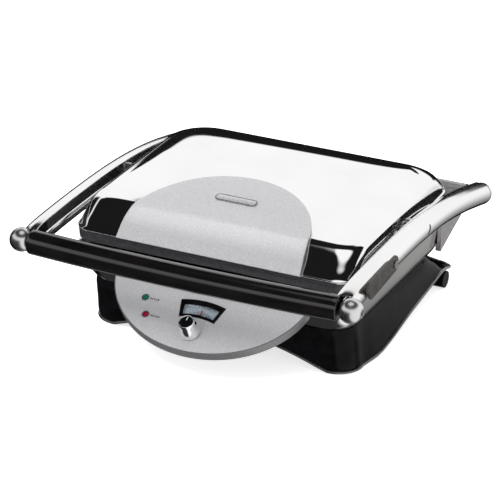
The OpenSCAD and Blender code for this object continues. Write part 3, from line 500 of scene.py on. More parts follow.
def make_fascia():
    """Silver half-moon: a sheet over the dome and down the front, made thick and rounded."""
    cols = 60
    across = [2 * j / cols - 1 for j in range(cols + 1)]
    rows = []
    for a in MOON_ANGLES:
        y = MOON_MID + MOON_R * math.cos(math.radians(a))
        w = MOON_R * math.sin(math.radians(a))
        rows.append([(w * t, y, crown_z(w * t, y) + MOON_T) for t in across])
    edge = np.array([p[2] for p in rows[-1]])
    for k, (y, z, w) in enumerate(refine(MOON_FRONT, 28)):
        rise = (edge - MOON_LEVEL) * MOON_BLEND * max(0.0, 1 - k / MOON_BLEND_ROWS)
        rows.append([(w * t, y, z + rise[j]) for j, t in enumerate(across)])
    n = cols + 1
    verts = [p for r in rows for p in r]
    faces = [(i * n + j, i * n + j + 1, (i + 1) * n + j + 1, (i + 1) * n + j)
             for i in range(len(rows) - 1) for j in range(cols)]
    obj = mesh_object("half_moon", verts, faces, silver)
    solid = obj.modifiers.new("thick", "SOLIDIFY")
    solid.thickness = (MOON_T - 0.4) * MM
    solid.offset = -1
    bevel = obj.modifiers.new("round", "BEVEL")
    bevel.width = 0.9 * MM
    bevel.segments = 3
    bevel.limit_method = "ANGLE"
    bevel.angle_limit = math.radians(50)
    apply_modifiers(obj)
    keep(obj, "lid", "silver_paint", "lid_fascia")
    return obj


def apply_modifiers(obj):
    """Turns the modifiers' result into the mesh itself."""
    bpy.context.view_layer.update()
    graph = bpy.context.evaluated_depsgraph_get()
    mesh = bpy.data.meshes.new_from_object(obj.evaluated_get(graph))
    obj.modifiers.clear()
    obj.data = mesh
    for polygon in mesh.polygons:
        polygon.use_smooth = True


def pill(length, width, n=20):
    """Outline with straight sides and round ends."""
    half = (length - width) / 2
    return arc(half, 0, width / 2, -90, 90, n) + arc(-half, 0, width / 2, 90, 270, n)


def make_badge():
    """Blank badge with a raised rim, lying on the half-moon's slope."""
    x, y, length, width = 0.5, -65.0, 50.0, 11.0
    z = crown_z(x, y) + MOON_T
    tilt = math.atan2(crown_z(0, y + 5) - crown_z(0, y - 5), 10)
    place = Matrix.Translation((x, y, z)) @ Matrix.Rotation(tilt, 4, "X")
    loops = [pill(length, width), pill(length - 2.4, width - 2.4)[::-1]]
    rim = plate("badge_rim", loops, -0.4, 1.6, 0.45, steel, place)
    keep(rim, "lid", "silver_paint", "lid_badge")
    face = plate("badge_face", [pill(length - 2.2, width - 2.2)], -0.4, 1.3, 0.3, badge_silver, place)
    keep(face, "lid", "silver_paint")


# ---------- Base ----------

# Bowl from its lower edge up: half width, front, back and corner radii, and each row's height
# above that edge
BOWL_ROWS = [(RIM_W - 10.5, -118.5, 134, 27, 33), (RIM_W - 7, -121, 145, 26, 30),
             (RIM_W - 4.6, -124, 151, 25, 27), (RIM_W - 2.6, -128.5, 151.5, 24, 26),
             (RIM_W - 1, -132, 151, 23, 26)]
BOWL_Z = [0, 5, 12, 28.6, 43]
# The lower edge slants down towards the back: its height and place at the front, and its slope
BOWL_EDGE_Z, BOWL_EDGE_Y, BOWL_SLANT = 58, -118, 0.034
# Rows start to turn level at SLANT_TOP above the edge and are level LEVEL_SPAN higher up, where the
# edge counts as lying at BOWL_LEVEL_Z
SLANT_TOP, LEVEL_SPAN, BOWL_LEVEL_Z = 12, 16.6, 56.4


def bowl_edge_z(y):
    """Height of the bowl's lower edge."""
    return BOWL_EDGE_Z - BOWL_SLANT * (y - BOWL_EDGE_Y)


def bowl_ring(r, t):
    """Row r is (w, y0, y1, rf, rb, height above the edge), moved in by t."""
    level = min(1.0, max(0.0, (r[5] - SLANT_TOP) / LEVEL_SPAN))
    points = outline(r[0] - t, r[1] + t, r[2] - t, r[3] - t, r[4] - t)
    return [(x, y, (bowl_edge_z(y) * (1 - level) + BOWL_LEVEL_Z * level) + r[5]) for x, y in points]


def make_bowl():
    """Bright bowl: outside, rolled rim with its ledge, then the inside."""
    rows = refine([(*r, z) for r, z in zip(BOWL_ROWS, BOWL_Z)], 22)
    rim = [(0.8, 101.5), (1.3, 102.4), (1.4, 102.9), (1.4, RIM_Z - 0.7), (1.2, RIM_Z - 0.2),
           (0.8, RIM_Z), (-10, RIM_Z), (-10, RIM_Z - 1.6), (-2.6, RIM_Z - 2.4)]
    rings = ([bowl_ring(r, 0) for r in rows]
             + rim_rings(rim)
             + [bowl_ring(r, COVER_T) for r in rows[::-1]])
    # The bowl's chrome carries painted shade in its darker, warm base colour
    keep(sharpen(loft("bowl", rings, shaded_bowl_chrome, loop=True), 40), "base", "chrome", "base_bowl")


# Along the side, by y: height of the skirt's lower edge, how far that edge flares out, and how far
# the skirt's top stays below the bowl's edge
SIDE_EDGE = [(-45, 0), (-30, 3), (0, 10), (30, 15), (73, 19.5), (100, 22), (126, 24), (160, 17)]
FLARE = [(-110, -2), (-80, 0), (-60, 4), (-30, 7), (0, 9), (60, 9.5), (160, 9.5)]
TOP_DROP = [(92, 0), (104, 3), (120, 9), (137, 22), (152, 31), (165, 36)]
# The front edge is an arch between the legs, the back edge is level but for its corners
FRONT_Y, FOOT_W, FRONT_ARCH = -100, 128.0, 26.0
BACK_Y, BACK_W, BACK_EDGE_Z, CORNER_SPAN = 140, 140, 24, 25
# The flare grows from this x outwards, and reaches the table's value this much further out
FLARE_FROM, FLARE_SPAN = 100, 60


def skirt_edge_z(x, y):
    """Height of the skirt's lower edge."""
    if y < FRONT_Y:
        return 0 if abs(x) > FOOT_W else FRONT_ARCH * (1 - (x / FOOT_W) ** 2)
    side = table(SIDE_EDGE, y)
    if y > BACK_Y:
        share = min(1.0, max(0.0, (BACK_W - abs(x)) / CORNER_SPAN))
        return side + (BACK_EDGE_Z - side) * share
    return side


def flare(x, y, share):
    """How far a point moves sideways."""
    if abs(x) <= FLARE_FROM:
        return 0
    return math.copysign(share * table(FLARE, y) * (abs(x) - FLARE_FROM) / FLARE_SPAN, x)


def skirt_ring(w, y0, y1, rf, rb, share, spread_share, up=0.0):
    """Ring at the share of the skirt's height, with spread_share of its flare."""
    points = []
    for x, y in outline(w, y0, y1, rf, rb):
        lo = skirt_edge_z(x, y)
        hi = bowl_edge_z(y) - table(TOP_DROP, y)
        points.append((x + flare(x, y, spread_share), y, lo + (hi - lo) * share + up))
    return points


def make_skirt():
    """Glossy black skirt: rounded lower edge, outside, lap over the bowl's edge, then the inside."""
    rows = [(160, -110, 162, 30, 16, 0.0, 1.0), (160.3, -111.5, 161, 29, 20, 0.12, 0.95),
            (159.5, -114, 155, 28, 28, 0.45, 0.7), (159, -117.5, 146, 28, 28, 0.82, 0.4),
            (157.5, -119, 139, 28, 28, 0.985, 0.2)]
    outer = refine(rows, 20)
    # Lower edge: size, corner radii and height of each ring
    edge = [(158.2, -108.2, 160.2, 29, 15, 0.2), (159.4, -109.4, 161.4, 30, 16, 0.0),
            (160.4, -110.4, 162.4, 30, 16, 0.7), (160.6, -110.6, 162.6, 30, 16, 1.7),
            (160.3, -110.3, 162.3, 30, 16, 2.6), (159.8, -109.9, 161.8, 30, 16, 3.1)]
    inner = refine([(w - 3, y0 + 3, y1 - 3, rf - 2, rb - 2, share * 0.9, spread_share)
                    for w, y0, y1, rf, rb, share, spread_share in rows], 8)
    rings = ([skirt_ring(*size, 0, 1.0, up) for *size, up in edge]
             + [skirt_ring(*r, up=3.0 * max(0.0, 1 - r[5] / 0.2)) for r in outer]
             + [[(x, y, bowl_edge_z(y) - 0.15) for x, y in outline(156, -117.6, 133, 26, 32)],
                [(x, y, bowl_edge_z(y) - 0.4) for x, y in outline(148, -110, 124, 20, 26)]]
             + [skirt_ring(*r, up=0.4) for r in inner[::-1]])
    skirt = sharpen(loft("skirt", rings, gloss_black, loop=True), 45)
    keep(skirt, "base", "black_gloss", "base_skirt")


def make_edge_bead():
    """Thin round bead along the skirt's lower edge, in a lighter black than the skirt: a painted
    highlight along that edge.
    """
    r, sides = 1.7, 10
    rings = []
    for k in range(sides):
        a = 2 * math.pi * k / sides
        g, up = r * math.cos(a), r * math.sin(a)
        rings.append(skirt_ring(160.4 + g, -110.4 - g, 162.4 + g, 30 + g, 16 + g, 0, 1.0,
                                up=2.2 + up))
    keep(loft("edge_bead", rings, bead_highlight_black, loop=True), "base", "black_gloss")


def make_rear_rollers():
    """Rounded ends over the two rear rollers, with a groove in each face."""
    r = 9.99
    profile = [(0, 0), (0.62 * r, 0), (0.7 * r, 0.5), (0.72 * r, 1.6), (0.88 * r, 1.8),
               (0.97 * r, 1.2), (r, 0.2), (r, -28), (0.9 * r, -29), (0, -29)]
    for side, name in ((1, "right"), (-1, "left")):
        obj = lathe(f"rear_roller_{name}", profile, gloss_black, along_x(168, (139, 10), side))
        keep(sharpen(obj, 45), "base", "black_gloss")


# ---------- Control panel ----------

# Upper end of the half ellipse, outline of the box behind it, and how deep both go, on the panel
PANEL_CUT_Y = -14.5
POCKET_W, POCKET_Y0, POCKET_Y1 = 13.9, -84.4, -24
PANEL_BACK, POCKET_BACK = -12.4, -27


def panel_edge(shrink, top, n=96):
    """Half ellipse of the panel in n steps, cut level at local y = top."""
    w, length = PANEL_W - shrink, PANEL_LEN - shrink
    a0 = math.degrees(math.asin(min(1, -top / length)))
    angles = [math.radians(180 + a0 + (180 - 2 * a0) * i / n) for i in range(n + 1)]
    return [(w * math.cos(a), length * math.sin(a)) for a in angles]


# Curved window over the scale, from the knob: middle of its arcs, radii and half angle in degrees
WINDOW_MID = (0.0, -60.0)
WINDOW_R0, WINDOW_R1, WINDOW_HALF = 79, 101, 15.5


def window_loop(in0, in1, ends, n=16):
    """Window outline, moved in by in0 and in1 at its arcs and by ends degrees at its ends."""
    half = WINDOW_HALF - ends
    inner = arc(*WINDOW_MID, WINDOW_R0 + in0, 90 + half, 90 - half, n)
    outer = arc(*WINDOW_MID, WINDOW_R1 - in1, 90 - half, 90 + half, n)
    return inner + outer


# Lamps on the panel, and the radius of their lenses
LENS_AT = {"ready": (-67.9, -42.1), "power": (-58.7, -62.7)}
LENS_R = 3.6


def circle(x, y, r, n=32):
    """Closed circle as a plate's outline."""
    return arc(x, y, r, 0, 360, n)[:-1]


def make_panel():
    """Silver face with its openings, the grey rim and back round it, and the thermostat's box."""
    holes = [[(x + KNOB_AT[0], y + KNOB_AT[1]) for x, y in window_loop(0, 0, 0)][::-1],
             circle(*KNOB_AT, 4)[::-1]]
    holes += [circle(*at, LENS_R + 0.15)[::-1] for at in LENS_AT.values()]
    face = plate("panel_face", [panel_edge(1.4, PANEL_CUT_Y)] + holes, -2, -0.02, 0.55,
                 panel_silver, ON_PANEL)
    keep(face, "base", "silver_paint", "control_panel")
    loops = [panel_edge(0.1, PANEL_CUT_Y), panel_edge(1.9, PANEL_CUT_Y - 0.5)[::-1]]
    rim = plate("panel_rim", loops, PANEL_BACK - 0.05, -0.75, 0.7, lip_grey, ON_PANEL)
    keep(rim, "base", "grey_housing", "panel_housing")
    floor = plate("panel_floor", [panel_edge(1.5, PANEL_CUT_Y + 6)], PANEL_BACK, PANEL_BACK + 2, 0.2,
                  lip_grey, ON_PANEL)
    keep(floor, "base", "grey_housing")
    pocket = [(-POCKET_W, POCKET_Y0), (POCKET_W, POCKET_Y0),
              (POCKET_W, POCKET_Y1), (-POCKET_W, POCKET_Y1)]
    hollow = [(x * 0.86, POCKET_Y0 + (y - POCKET_Y0) * 0.93 + 2) for x, y in pocket]
    box = plate("thermostat_pocket", [pocket, hollow[::-1]], POCKET_BACK, -12, 0.5, lip_grey, ON_PANEL)
    keep(box, "base", "grey_housing")
    tray = plate("pocket_floor", [pocket], POCKET_BACK, POCKET_BACK + 1.8, 0.4, lip_grey, ON_PANEL)
    keep(tray, "base", "grey_housing")


# Ticks of the scale in degrees, and the short ones among them
TICKS, SHORT_TICKS = range(-26, 27, 4), (-26, -10, -2, 14, 22)


def make_window():
    """Black border, clear pane and the ticks under it."""
    loops = [window_loop(0.2, 0.2, 0.15), window_loop(3, 5.5, 2.4)[::-1]]
    border = plate("window_border", loops, -3, 0.8, 0.35, gloss_black, AT_KNOB)
    keep(border, "base", "black_gloss", "window_frame")
    pane = plate("window_pane", [window_loop(3.05, 5.55, 2.45)], -2.4, -1.2, 0.2, clear, AT_KNOB)
    keep(pane, "base", "lens_clear", "window_lens")
    ticks = []
    for a in TICKS:
        r0, r1, half = (26.6, 29.2, 0.2) if a in SHORT_TICKS else (25.2, 29.6, 0.32)
        ca, sa = math.cos(math.radians(90 + a)), math.sin(math.radians(90 + a))
        ticks.append([(r * ca - s * half * sa, r * sa + s * half * ca)
                      for r, s in ((r0, -1), (r1, -1), (r1, 1), (r0, 1))])
    marks = plate("scale_ticks", ticks, -5.42, -5.3, 0.02, mark_black, AT_KNOB, steps=1)
    keep(marks, "base", "scale")


# Bars beside each lamp: width and half height of each, where the row starts and its step
BAR_SIZES = ((1.6, 1.0), (1.0, 1.4), (1.4, 0.8), (0.8, 1.4), (1.6, 1.0))
BAR_X, BAR_STEP = 6.8, 2.3


def make_lamps():
    """Lens with its ring for each lamp, and a row of short generic bars beside it."""
    lens = [(0, 0.891), (1.2, 0.825), (2.3, 0.594), (3.0, 0.297), (3.42, -0.1), (3.5, -1),
            (3.5, -3.9), (0, -3.9)]
    edge = [(3.62, -0.6), (3.62, 0.15), (3.8, 0.3), (4.3, 0.25), (4.5, 0), (4.5, -0.6)]
    for name, mat in (("ready", green), ("power", red)):
        at = LENS_AT[name]
        place = ON_PANEL @ Matrix.Translation((at[0], at[1], 0))
        dome = lathe(f"{name}_dome", lens, mat, place, n=40)
        keep(dome, "base", "lens_green" if name == "ready" else "lens_red", f"{name}_lens")
        bezel = lathe(f"{name}_bezel", edge, lip_grey, place, n=40)
        keep(bezel, "base", "grey_housing")
        bars = []
        for k, (w, h) in enumerate(BAR_SIZES):
            x = BAR_X + BAR_STEP * k
            bars.append([(x - w / 2, -h), (x + w / 2, -h), (x + w / 2, h), (x - w / 2, h)])
        marks = plate(f"{name}_marks", bars, -0.03, 0.05, 0.02, mark_black, place, steps=1)
        keep(marks, "base", "black_gloss")


def make_knob():
    """Tapered chrome knob with its stem, a black top and a white line."""
    r, h = 12.0, 20.0
    profile = [(0, 0.4), (r - 1.2, 0.4), (r - 0.3, 0.9), (r, 1.8), (r * 0.985, 4.0),
               (r * 0.93, 7.2), (r * 0.86, 10.5), (r * 0.80, 14), (r * 0.76, 17),
               (r * 0.735, h - 1.2), (r * 0.70, h - 0.4), (r * 0.655, h - 0.05),
               (r * 0.61, h - 0.3), (r * 0.59, h - 1.0), (r * 0.585, h - 2.4), (0, h - 2.4)]
    body = lathe("knob_body", profile, chrome, AT_KNOB, n=96)
    keep(sharpen(body, 50), "knob", "chrome", "thermostat_knob")
    shaft = [(0, -21.6), (2.9, -21.6), (3.0, -21), (3.0, 0.5), (0, 0.5)]
    stem = lathe("knob_stem", shaft, steel, AT_KNOB, n=40)
    keep(stem, "knob", "steel")
    top = [(0, h - 2.3), (r * 0.575, h - 2.3), (r * 0.575, h - 0.7), (r * 0.55, h - 0.2),
           (r * 0.5, h + 0.15), (r * 0.3, h + 0.3), (0, h + 0.35)]
    cap = lathe("knob_top", top, gloss_black, AT_KNOB, n=64)
    keep(cap, "knob", "dark_plastic", "knob_grip")
    stripe = [(-0.5, 1.5), (0.5, 1.5), (0.5, r * 0.5), (-0.5, r * 0.5)]
    line = plate("knob_line", [stripe], h + 0.1, h + 0.39, 0.05, scale_white, AT_KNOB, steps=1)
    keep(line, "knob", "scale")


# ---------- Arms and handle ----------

# Middle line of the arms from the handle to their rear ends, as (y, z)
ARM_ROWS = [(HANDLE[0], 129.7), (-180, 132.6), (-160, 134), (-130, 134.8), (-95, 135.1), (-60, 134.9),
            (-27, 134.2), (13, 132), (53, 128.1), (93, 122.1), (133, 113.8), (168, 105.2), (182, 101.5),
            (198.83, 97)]
ARM_LINE = refine(ARM_ROWS, 90)
# Arm channel: place, outer radius, its open side and wall; the stretch of y that each sweep covers
ARM_X, ARM_R, LIP, WALL = 185.0, 13.0, -7.0, 2.4
ARM_SPAN, LINER_SPAN = (HANDLE[0] + 3, 200), (-168, 166)


def sweep(name, section, side, span, material):
    """Carries a section along the arm's middle line, within a span of y."""
    step = np.gradient(ARM_LINE, axis=0)
    rings = []
    for (y, z), a in zip(ARM_LINE, np.arctan2(step[:, 1], step[:, 0])):
        if span[0] < y < span[1]:
            rings.append([(side * (ARM_X + px), y - pz * math.sin(a), z + pz * math.cos(a))
                          for px, pz in section])
    return loft(name, rings, material)


def arm_section():
    """Half-round channel with a curled lower lip, as (outwards, up) points."""
    outer = arc(0, 0, ARM_R, 90, -90, 28)
    inner = arc(0, 0, ARM_R - WALL, -90, 90, 28)
    lower_lip = [(LIP + 1, -ARM_R), (LIP - 0.2, -ARM_R + 0.8), (LIP - 0.8, -ARM_R + 3),
                 (LIP - 1, -ARM_R + 7), (LIP - 0.4, -3.0), (LIP + 0.4, -1.8),
                 (LIP + 1.4, -1.6), (LIP + 2.4, -2.4)]
    return ([(LIP + 0.5, ARM_R)] + outer + lower_lip + [(LIP + 2.4, -ARM_R + WALL)] + inner
            + [(LIP + 0.3, ARM_R - WALL), (LIP - 0.1, ARM_R - WALL + 0.5),
               (LIP - 0.1, ARM_R - 0.5)])


def liner_section():
    """Dark inlay that fills the channel, with a fold along its middle."""
    r = ARM_R - WALL - 0.15
    return ([(LIP + 1.6, r)] + arc(0, 0, r, 90, -90, 20)
            + [(LIP + 2.6, -r), (LIP + 2.6, -2.2), (LIP + 1.6, -1.4), (LIP + 2.4, 0),
               (LIP + 2.4, r - 2), (LIP + 1.6, r - 1)])


# End balls: their radius, and the radius of the round recess that the arms leave for them
BALL_R, BALL_RECESS_R = 13.58, 13.66


def cut_ball_end(obj, side):
    """Moves the arm's end back, out of the ball's round recess."""
    bm = bmesh.new()
    bm.from_mesh(obj.data)
    centre = Vector((side * ARM_X * MM, HANDLE[0] * MM, HANDLE[1] * MM))
    reach = BALL_RECESS_R * MM
    for v in bm.verts:
        d = Vector((0, v.co.y - centre.y, v.co.z - centre.z))
        if d.length < reach:
            up = max(-0.98, min(0.98, d.z / reach))
            v.co.y = centre.y + reach * math.sqrt(1 - up * up)
            v.co.z = centre.z + reach * up
    bm.to_mesh(obj.data)
    bm.free()
    return obj


def make_arms():
    """Both arms with their inlays and slots."""
    for side, name in ((1, "right"), (-1, "left")):
        arm = sweep(f"arm_shell_{name}", arm_section(), side, ARM_SPAN, arm_chrome)
        keep(sharpen(cut_ball_end(arm, side), 60), "arms", "chrome", f"arm_{name}")
        liner = sweep(f"arm_inlay_{name}", liner_section(), side, LINER_SPAN, liner_dark)
        keep(sharpen(liner, 45), "arms", "dark_plastic", f"arm_liner_{name}")
        arm_slot_shade(f"arm_slot_shade_{name}", side)


# Slot in the arm, drawn as a black strip of painted shade: middle, half length and bow, as y and z
# where there are two
SLOT_MID, SLOT_HALF, SLOT_BOW = (10.5, 134.6), (4.2, 4.3), 1.6


def arm_slot_shade(name, side):
    """Short curved slot on the arm's outer face, drawn as a thin black strip that follows the round:
    painted shade in the slot's opening.
    """
    verts = []
    steps = 17
    for i in range(steps):
        t = 2 * i / (steps - 1) - 1
        y = SLOT_MID[0] + SLOT_HALF[0] * t + SLOT_BOW * (1 - t * t)
        z = SLOT_MID[1] + SLOT_HALF[1] * t
        width = 0.5 + 1.5 * math.sqrt(max(0, 1 - t * t)) * (1 - 0.35 * t)
        up = z - float(np.interp(y, ARM_LINE[:, 0], ARM_LINE[:, 1]))
        x = ARM_X + math.sqrt(ARM_R ** 2 - up * up)
        verts += [(side * (x + dx), y + dy, z)
                  for dx, dy in ((0.2, -width), (0.2, width), (-0.3, width), (-0.3, -width))]
    faces = [(i * 4 + k, i * 4 + (k + 1) % 4, i * 4 + 4 + (k + 1) % 4, i * 4 + 4 + k)
             for i in range(steps - 1) for k in range(4)]
    faces += [(0, 1, 2, 3), tuple((steps - 1) * 4 + k for k in range(4))]
    # The black strip is painted shade where the slot opens
    keep(mesh_object(name, verts, faces, mark_black, smooth=False), "arms", "dark_plastic")


def make_caps():
    """Rounded rear ends of the arms with their seals; one CAD node holds both seals."""
    (y0, z0), (y1, z1) = ARM_LINE[-2], ARM_LINE[-1]
    slope = math.degrees(math.atan2(z1 - z0, y1 - y0))
    for side, name in ((1, "right"), (-1, "left")):
        place = (Matrix.Translation((side * ARM_X, y1, z1))
                 @ Matrix.Rotation(math.radians(slope - 90), 4, "X"))
        band = [(0, 0.1), (13, 0.1), (13.04, 0.5), (13.04, 1.2), (13, 1.55), (0, 1.55)]
        seal = lathe(f"seal_{name}", band, rubber, place)
        keep(sharpen(seal, 40), "arms", "rubber", *(["cap_gaskets"] if side > 0 else []))
        dome = [(12.4, 1.6), (12.95, 1.9), (12.98, 3.6)]
        dome += [(12.98 * math.cos(math.radians(a)), 3.6 + 12.9 * math.sin(math.radians(a)))
                 for a in range(6, 90, 6)]
        dome.append((0, 16.5))
        cap = lathe(f"end_cap_{name}", [(0, 1.6)] + dome, arm_chrome, place)
        keep(sharpen(cap, 50), "arms", "chrome", f"arm_cap_{name}")


# Grip: half length, radius and how far its middle bows forward
GRIP_L, GRIP_R, GRIP_BOW = 182.0, 13.9, 6.0


def make_handle():
    """Bowed grip with rounded ends, and the end balls; one CAD node holds both balls."""
    bow_r = (GRIP_L ** 2 + GRIP_BOW ** 2) / (2 * GRIP_BOW)
    half = math.asin(GRIP_L / bow_r)
    rings = []
    # Rings from end to end, as the share of the half length and of the radius
    ends = [(-1.0, 0.86), (-0.9985, 0.94), (-0.9965, 0.985), (-0.994, 1.0)]
    middle = [(t, 1.0) for t in np.linspace(-0.97, 0.97, 61)]
    for t, grow in ends + middle + [(-t, s) for t, s in reversed(ends)]:
        a = half * t
        cx = bow_r * math.sin(a)
        cy = HANDLE[0] - GRIP_BOW + bow_r - bow_r * math.cos(a)
        section = []
        for k in range(64):
            b = 2 * math.pi * k / 64
            out, up = GRIP_R * grow * math.cos(b), GRIP_R * grow * math.sin(b)
            section.append((cx + out * math.sin(a), cy - out * math.cos(a), HANDLE[1] + up))
        rings.append(section)
    keep(sharpen(loft("grip_sleeve", rings, grip_black), 50), "arms", "grip", "handle_grip")
    for side, name in ((1, "right"), (-1, "left")):
        ball = [(0, -12.2), (5.6, -12.2)]
        ball += [(BALL_R * math.sin(math.radians(a)), -BALL_R * math.cos(math.radians(a)))
                 for a in range(27, 157, 4)]
        ball += [(4.6, 12.75), (4.1, 12.55), (4.0, 11.0), (0, 11.0)]
        obj = lathe(f"end_ball_{name}", ball, ball_chrome, along_x(195, HANDLE, side), n=80)
        keep(sharpen(obj, 45), "arms", "chrome", *(["handle_balls"] if side > 0 else []))


# Latch: how far out its inner face is, and its three rounded corners as (y, z, radius) from the stud
LATCH_X = 199
LATCH_CORNERS = ((0, 0, 9.4), (-66, 2, 5.9), (-60, -8, 5.9))


def make_latch():
    """Flat dark lever on the right arm."""
    y, z = LATCH
    shape = hull_loop([(y + dy, z + dz, r) for dy, dz, r in LATCH_CORNERS])
    upright = Matrix(((0, 0, 1, 0), (1, 0, 0, 0), (0, 1, 0, 0), (0, 0, 0, 1)))
    body = plate("latch_plate", [shape, circle(y, z, 3.1)[::-1]], 0.02, 2.98, 0.7, latch_metal,
                 Matrix.Translation((LATCH_X, 0, 0)) @ upright)
    keep(body, "latch", "grey_housing", "lock_latch")


def hull_loop(discs, n=18):
    """Convex outline round discs given as (x, y, r)."""
    angles = [2 * math.pi * k / (4 * n) for k in range(4 * n)]
    points = sorted({(x + r * math.cos(a), y + r * math.sin(a)) for x, y, r in discs for a in angles})

    def half(ps):
        """One side of the outline: points that would turn inwards are dropped."""
        out = []
        for p in ps:
            while len(out) > 1 and ((out[-1][0] - out[-2][0]) * (p[1] - out[-2][1])
                                    - (out[-1][1] - out[-2][1]) * (p[0] - out[-2][0])) <= 0:
                out.pop()
            out.append(p)
        return out[:-1]

    return half(points) + half(points[::-1])


# ---------- Studio ----------

# Half width of the floor and radius of the ball round the set
FLOOR_W, SURROUND_R = 9000, 7000


def make_floor():
    """Plain pale floor that glows, so that it stays even."""
    verts = [(-FLOOR_W, -FLOOR_W, 0), (FLOOR_W, -FLOOR_W, 0), (FLOOR_W, FLOOR_W, 0),
             (-FLOOR_W, FLOOR_W, 0)]
    mat, nodes, links, shader = node_tree("floor_paper")
    coords = nodes.new("ShaderNodeTexCoord").outputs["Object"]
    tint(nodes, links, shader, noise(nodes, links, coords, 3), (0.93,) * 3, (0.97,) * 3)
    put(shader, {"Roughness": 0.9, "Specular IOR Level": 0.0,
                 "Emission Color": (1, 1, 1, 1), "Emission Strength": 0.7})
    obj = mesh_object("floor", verts, [(0, 1, 2, 3)], mat, smooth=False)
    obj.visible_glossy = False


def soft_step(nodes, links, value, e0, e1, low=0, high=1):
    """low below e0, high above e1."""
    step = nodes.new("ShaderNodeMapRange")
    step.interpolation_type = "SMOOTHSTEP"
    put(step, {"From Min": e0, "From Max": e1, "To Min": low, "To Max": high})
    links.new(value, step.inputs["Value"])
    return step.outputs["Result"]


def multiply(nodes, links, *values):
    """Product of any number of sockets."""
    out = values[0]
    for v in values[1:]:
        node = nodes.new("ShaderNodeMath")
        node.operation = "MULTIPLY"
        links.new(out, node.inputs[0])
        links.new(v, node.inputs[1])
        out = node.outputs[0]
    return out


# Dark areas of the studio that polished metal mirrors: lower and upper limit along x, y and z of
# the direction, each a soft edge, and how dark the area is. An open limit lies outside every
# direction.
OPEN_LOW, OPEN_HIGH = (-1.3, -1.2), (1.2, 1.3)
FLAGS = [
    # Above the front: the lid's front face
    (OPEN_LOW, OPEN_HIGH, OPEN_LOW, (0.615, 0.655), (0.60, 0.64), (0.93, 0.97), 0.99),
    # Low on the left: the lid's front left corner
    (OPEN_LOW, (-0.60, -0.53), (-0.20, -0.05), (0.44, 0.56), OPEN_LOW, (0.52, 0.60), 0.99),
    # Behind, low on the left: the rolled edges at the left and back
    (OPEN_LOW, (0.0, 0.15), (0.4, 0.6), OPEN_HIGH, OPEN_LOW, (0.15, 0.19), 0.99),
    # Behind, low on the right: fades downwards
    (OPEN_LOW, OPEN_HIGH, (0.2, 0.45), OPEN_HIGH, OPEN_LOW, (-0.70, 0.02), 0.88),
    # Below and in front, on the left
    (OPEN_LOW, (0.10, 0.35), OPEN_LOW, (0.15, 0.35), OPEN_LOW, (0.12, 0.34), 0.97),
]


def make_surround():
    """Ball round the set that only mirror-like reflections see: white with dark areas."""
    mat = bpy.data.materials.new("surround")
    mat.use_nodes = True
    nodes, links = mat.node_tree.nodes, mat.node_tree.links
    nodes.clear()
    coords = nodes.new("ShaderNodeTexCoord").outputs["Object"]
    unit = nodes.new("ShaderNodeVectorMath")
    unit.operation = "NORMALIZE"
    links.new(coords, unit.inputs[0])
    split = nodes.new("ShaderNodeSeparateXYZ")
    links.new(unit.outputs["Vector"], split.inputs[0])
    light = None
    for *limits, depth in FLAGS:
        parts = []
        for k, axis in enumerate("XYZ"):
            lower, upper = limits[2 * k:2 * k + 2]
            parts.append(soft_step(nodes, links, split.outputs[axis], *lower))
            parts.append(soft_step(nodes, links, split.outputs[axis], *upper, 1, 0))
        inside = multiply(nodes, links, *parts)
        left = nodes.new("ShaderNodeMath")
        left.operation = "MULTIPLY_ADD"
        links.new(inside, left.inputs[0])
        put(left, {1: -depth, 2: 1})
        light = left.outputs[0] if light is None else multiply(nodes, links, light, left.outputs[0])
    glow = nodes.new("ShaderNodeEmission")
    put(glow, {"Color": (1, 1, 1, 1)})
    links.new(light, glow.inputs["Strength"])
    links.new(glow.outputs[0], nodes.new("ShaderNodeOutputMaterial").inputs["Surface"])
    mat.cycles.emission_sampling = "NONE"
    # The rings stop a hair short of the poles
    top = math.pi / 2 - 0.01
    rings = [[(SURROUND_R * math.cos(e) * math.cos(a), SURROUND_R * math.cos(e) * math.sin(a),
               SURROUND_R * math.sin(e))
              for a in np.linspace(0, 2 * math.pi, 64, endpoint=False)]
             for e in np.linspace(-top, top, 32)]
    obj = loft("surround", rings, mat)
    obj.visible_camera = False
    obj.visible_diffuse = False
    obj.visible_shadow = False
    obj.visible_transmission = False
    obj.visible_volume_scatter = False


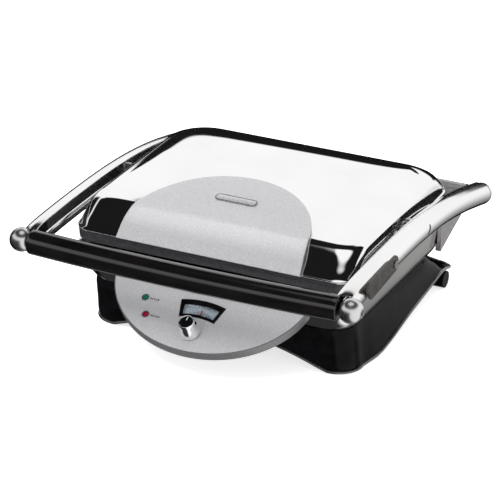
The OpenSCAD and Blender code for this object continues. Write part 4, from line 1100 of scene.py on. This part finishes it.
def add_light(name, at, size, power, mirrored=True, target=(0, 0, 0.08)):
    """Area light aimed at target; without mirrored, polished metal does not show it."""
    data = bpy.data.lights.new(name, "AREA")
    data.shape = "RECTANGLE"
    data.size, data.size_y = size
    data.energy = power
    obj = add_object(name, data)
    obj.location = at
    obj.visible_glossy = mirrored
    obj.rotation_euler = (Vector(target) - Vector(at)).to_track_quat("-Z", "Y").to_euler()
    return obj


def add_sheen(obj):
    """Long strip light over the bend of the half-moon, for that piece alone."""
    strip = add_light("sheen", (-0.85, 0.02, 2.0), (1.8, 0.22), 7, target=(0, -0.113, 0.15))
    lit = bpy.data.collections.new("sheen_lit")
    lit.objects.link(obj)
    strip.light_linking.receiver_collection = lit


# Camera: the point that it looks at, its direction in degrees from the front, and its lens in mm
CAMERA_TARGET = (-0.00135, -0.027, 0.08414)
CAMERA_AZIMUTH, CAMERA_ELEVATION, CAMERA_DISTANCE = 25.77, 25.9, 2.8214
CAMERA_LENS, CAMERA_SENSOR = 181.9, 36.0


def make_studio():
    """World, two lights, floor, mirrored surround and the camera."""
    scene = bpy.context.scene
    scene.view_settings.view_transform = "Standard"
    world = bpy.data.worlds.new("studio")
    scene.world = world
    world.use_nodes = True
    put(world.node_tree.nodes["Background"], {"Color": (1, 1, 1, 1), "Strength": 0.85})
    add_light("overhead", (-0.5, 0.2, 2.2), (2.4, 1.8), 12, mirrored=False)
    add_light("key", (-0.35, -1.15, 2.0), (0.9, 0.9), 24, mirrored=False)
    make_floor()
    make_surround()
    az, el = math.radians(CAMERA_AZIMUTH), math.radians(CAMERA_ELEVATION)
    back = Vector((math.sin(az) * math.cos(el), -math.cos(az) * math.cos(el), math.sin(el)))
    data = bpy.data.cameras.new("camera")
    data.lens = CAMERA_LENS
    data.sensor_width = CAMERA_SENSOR
    data.clip_end = 50
    scene.camera = add_object("camera", data)
    scene.camera.location = Vector(CAMERA_TARGET) + back * CAMERA_DISTANCE
    scene.camera.rotation_euler = (-back).to_track_quat("-Z", "Y").to_euler()


make_studio()
repaint_cad()
make_lid_cover()
make_lid_trim()
add_sheen(make_fascia())
make_badge()
make_bowl()
make_skirt()
make_edge_bead()
make_rear_rollers()
make_panel()
make_window()
make_lamps()
make_knob()
make_arms()
make_caps()
make_handle()
make_latch()

bpy.context.view_layer.update()
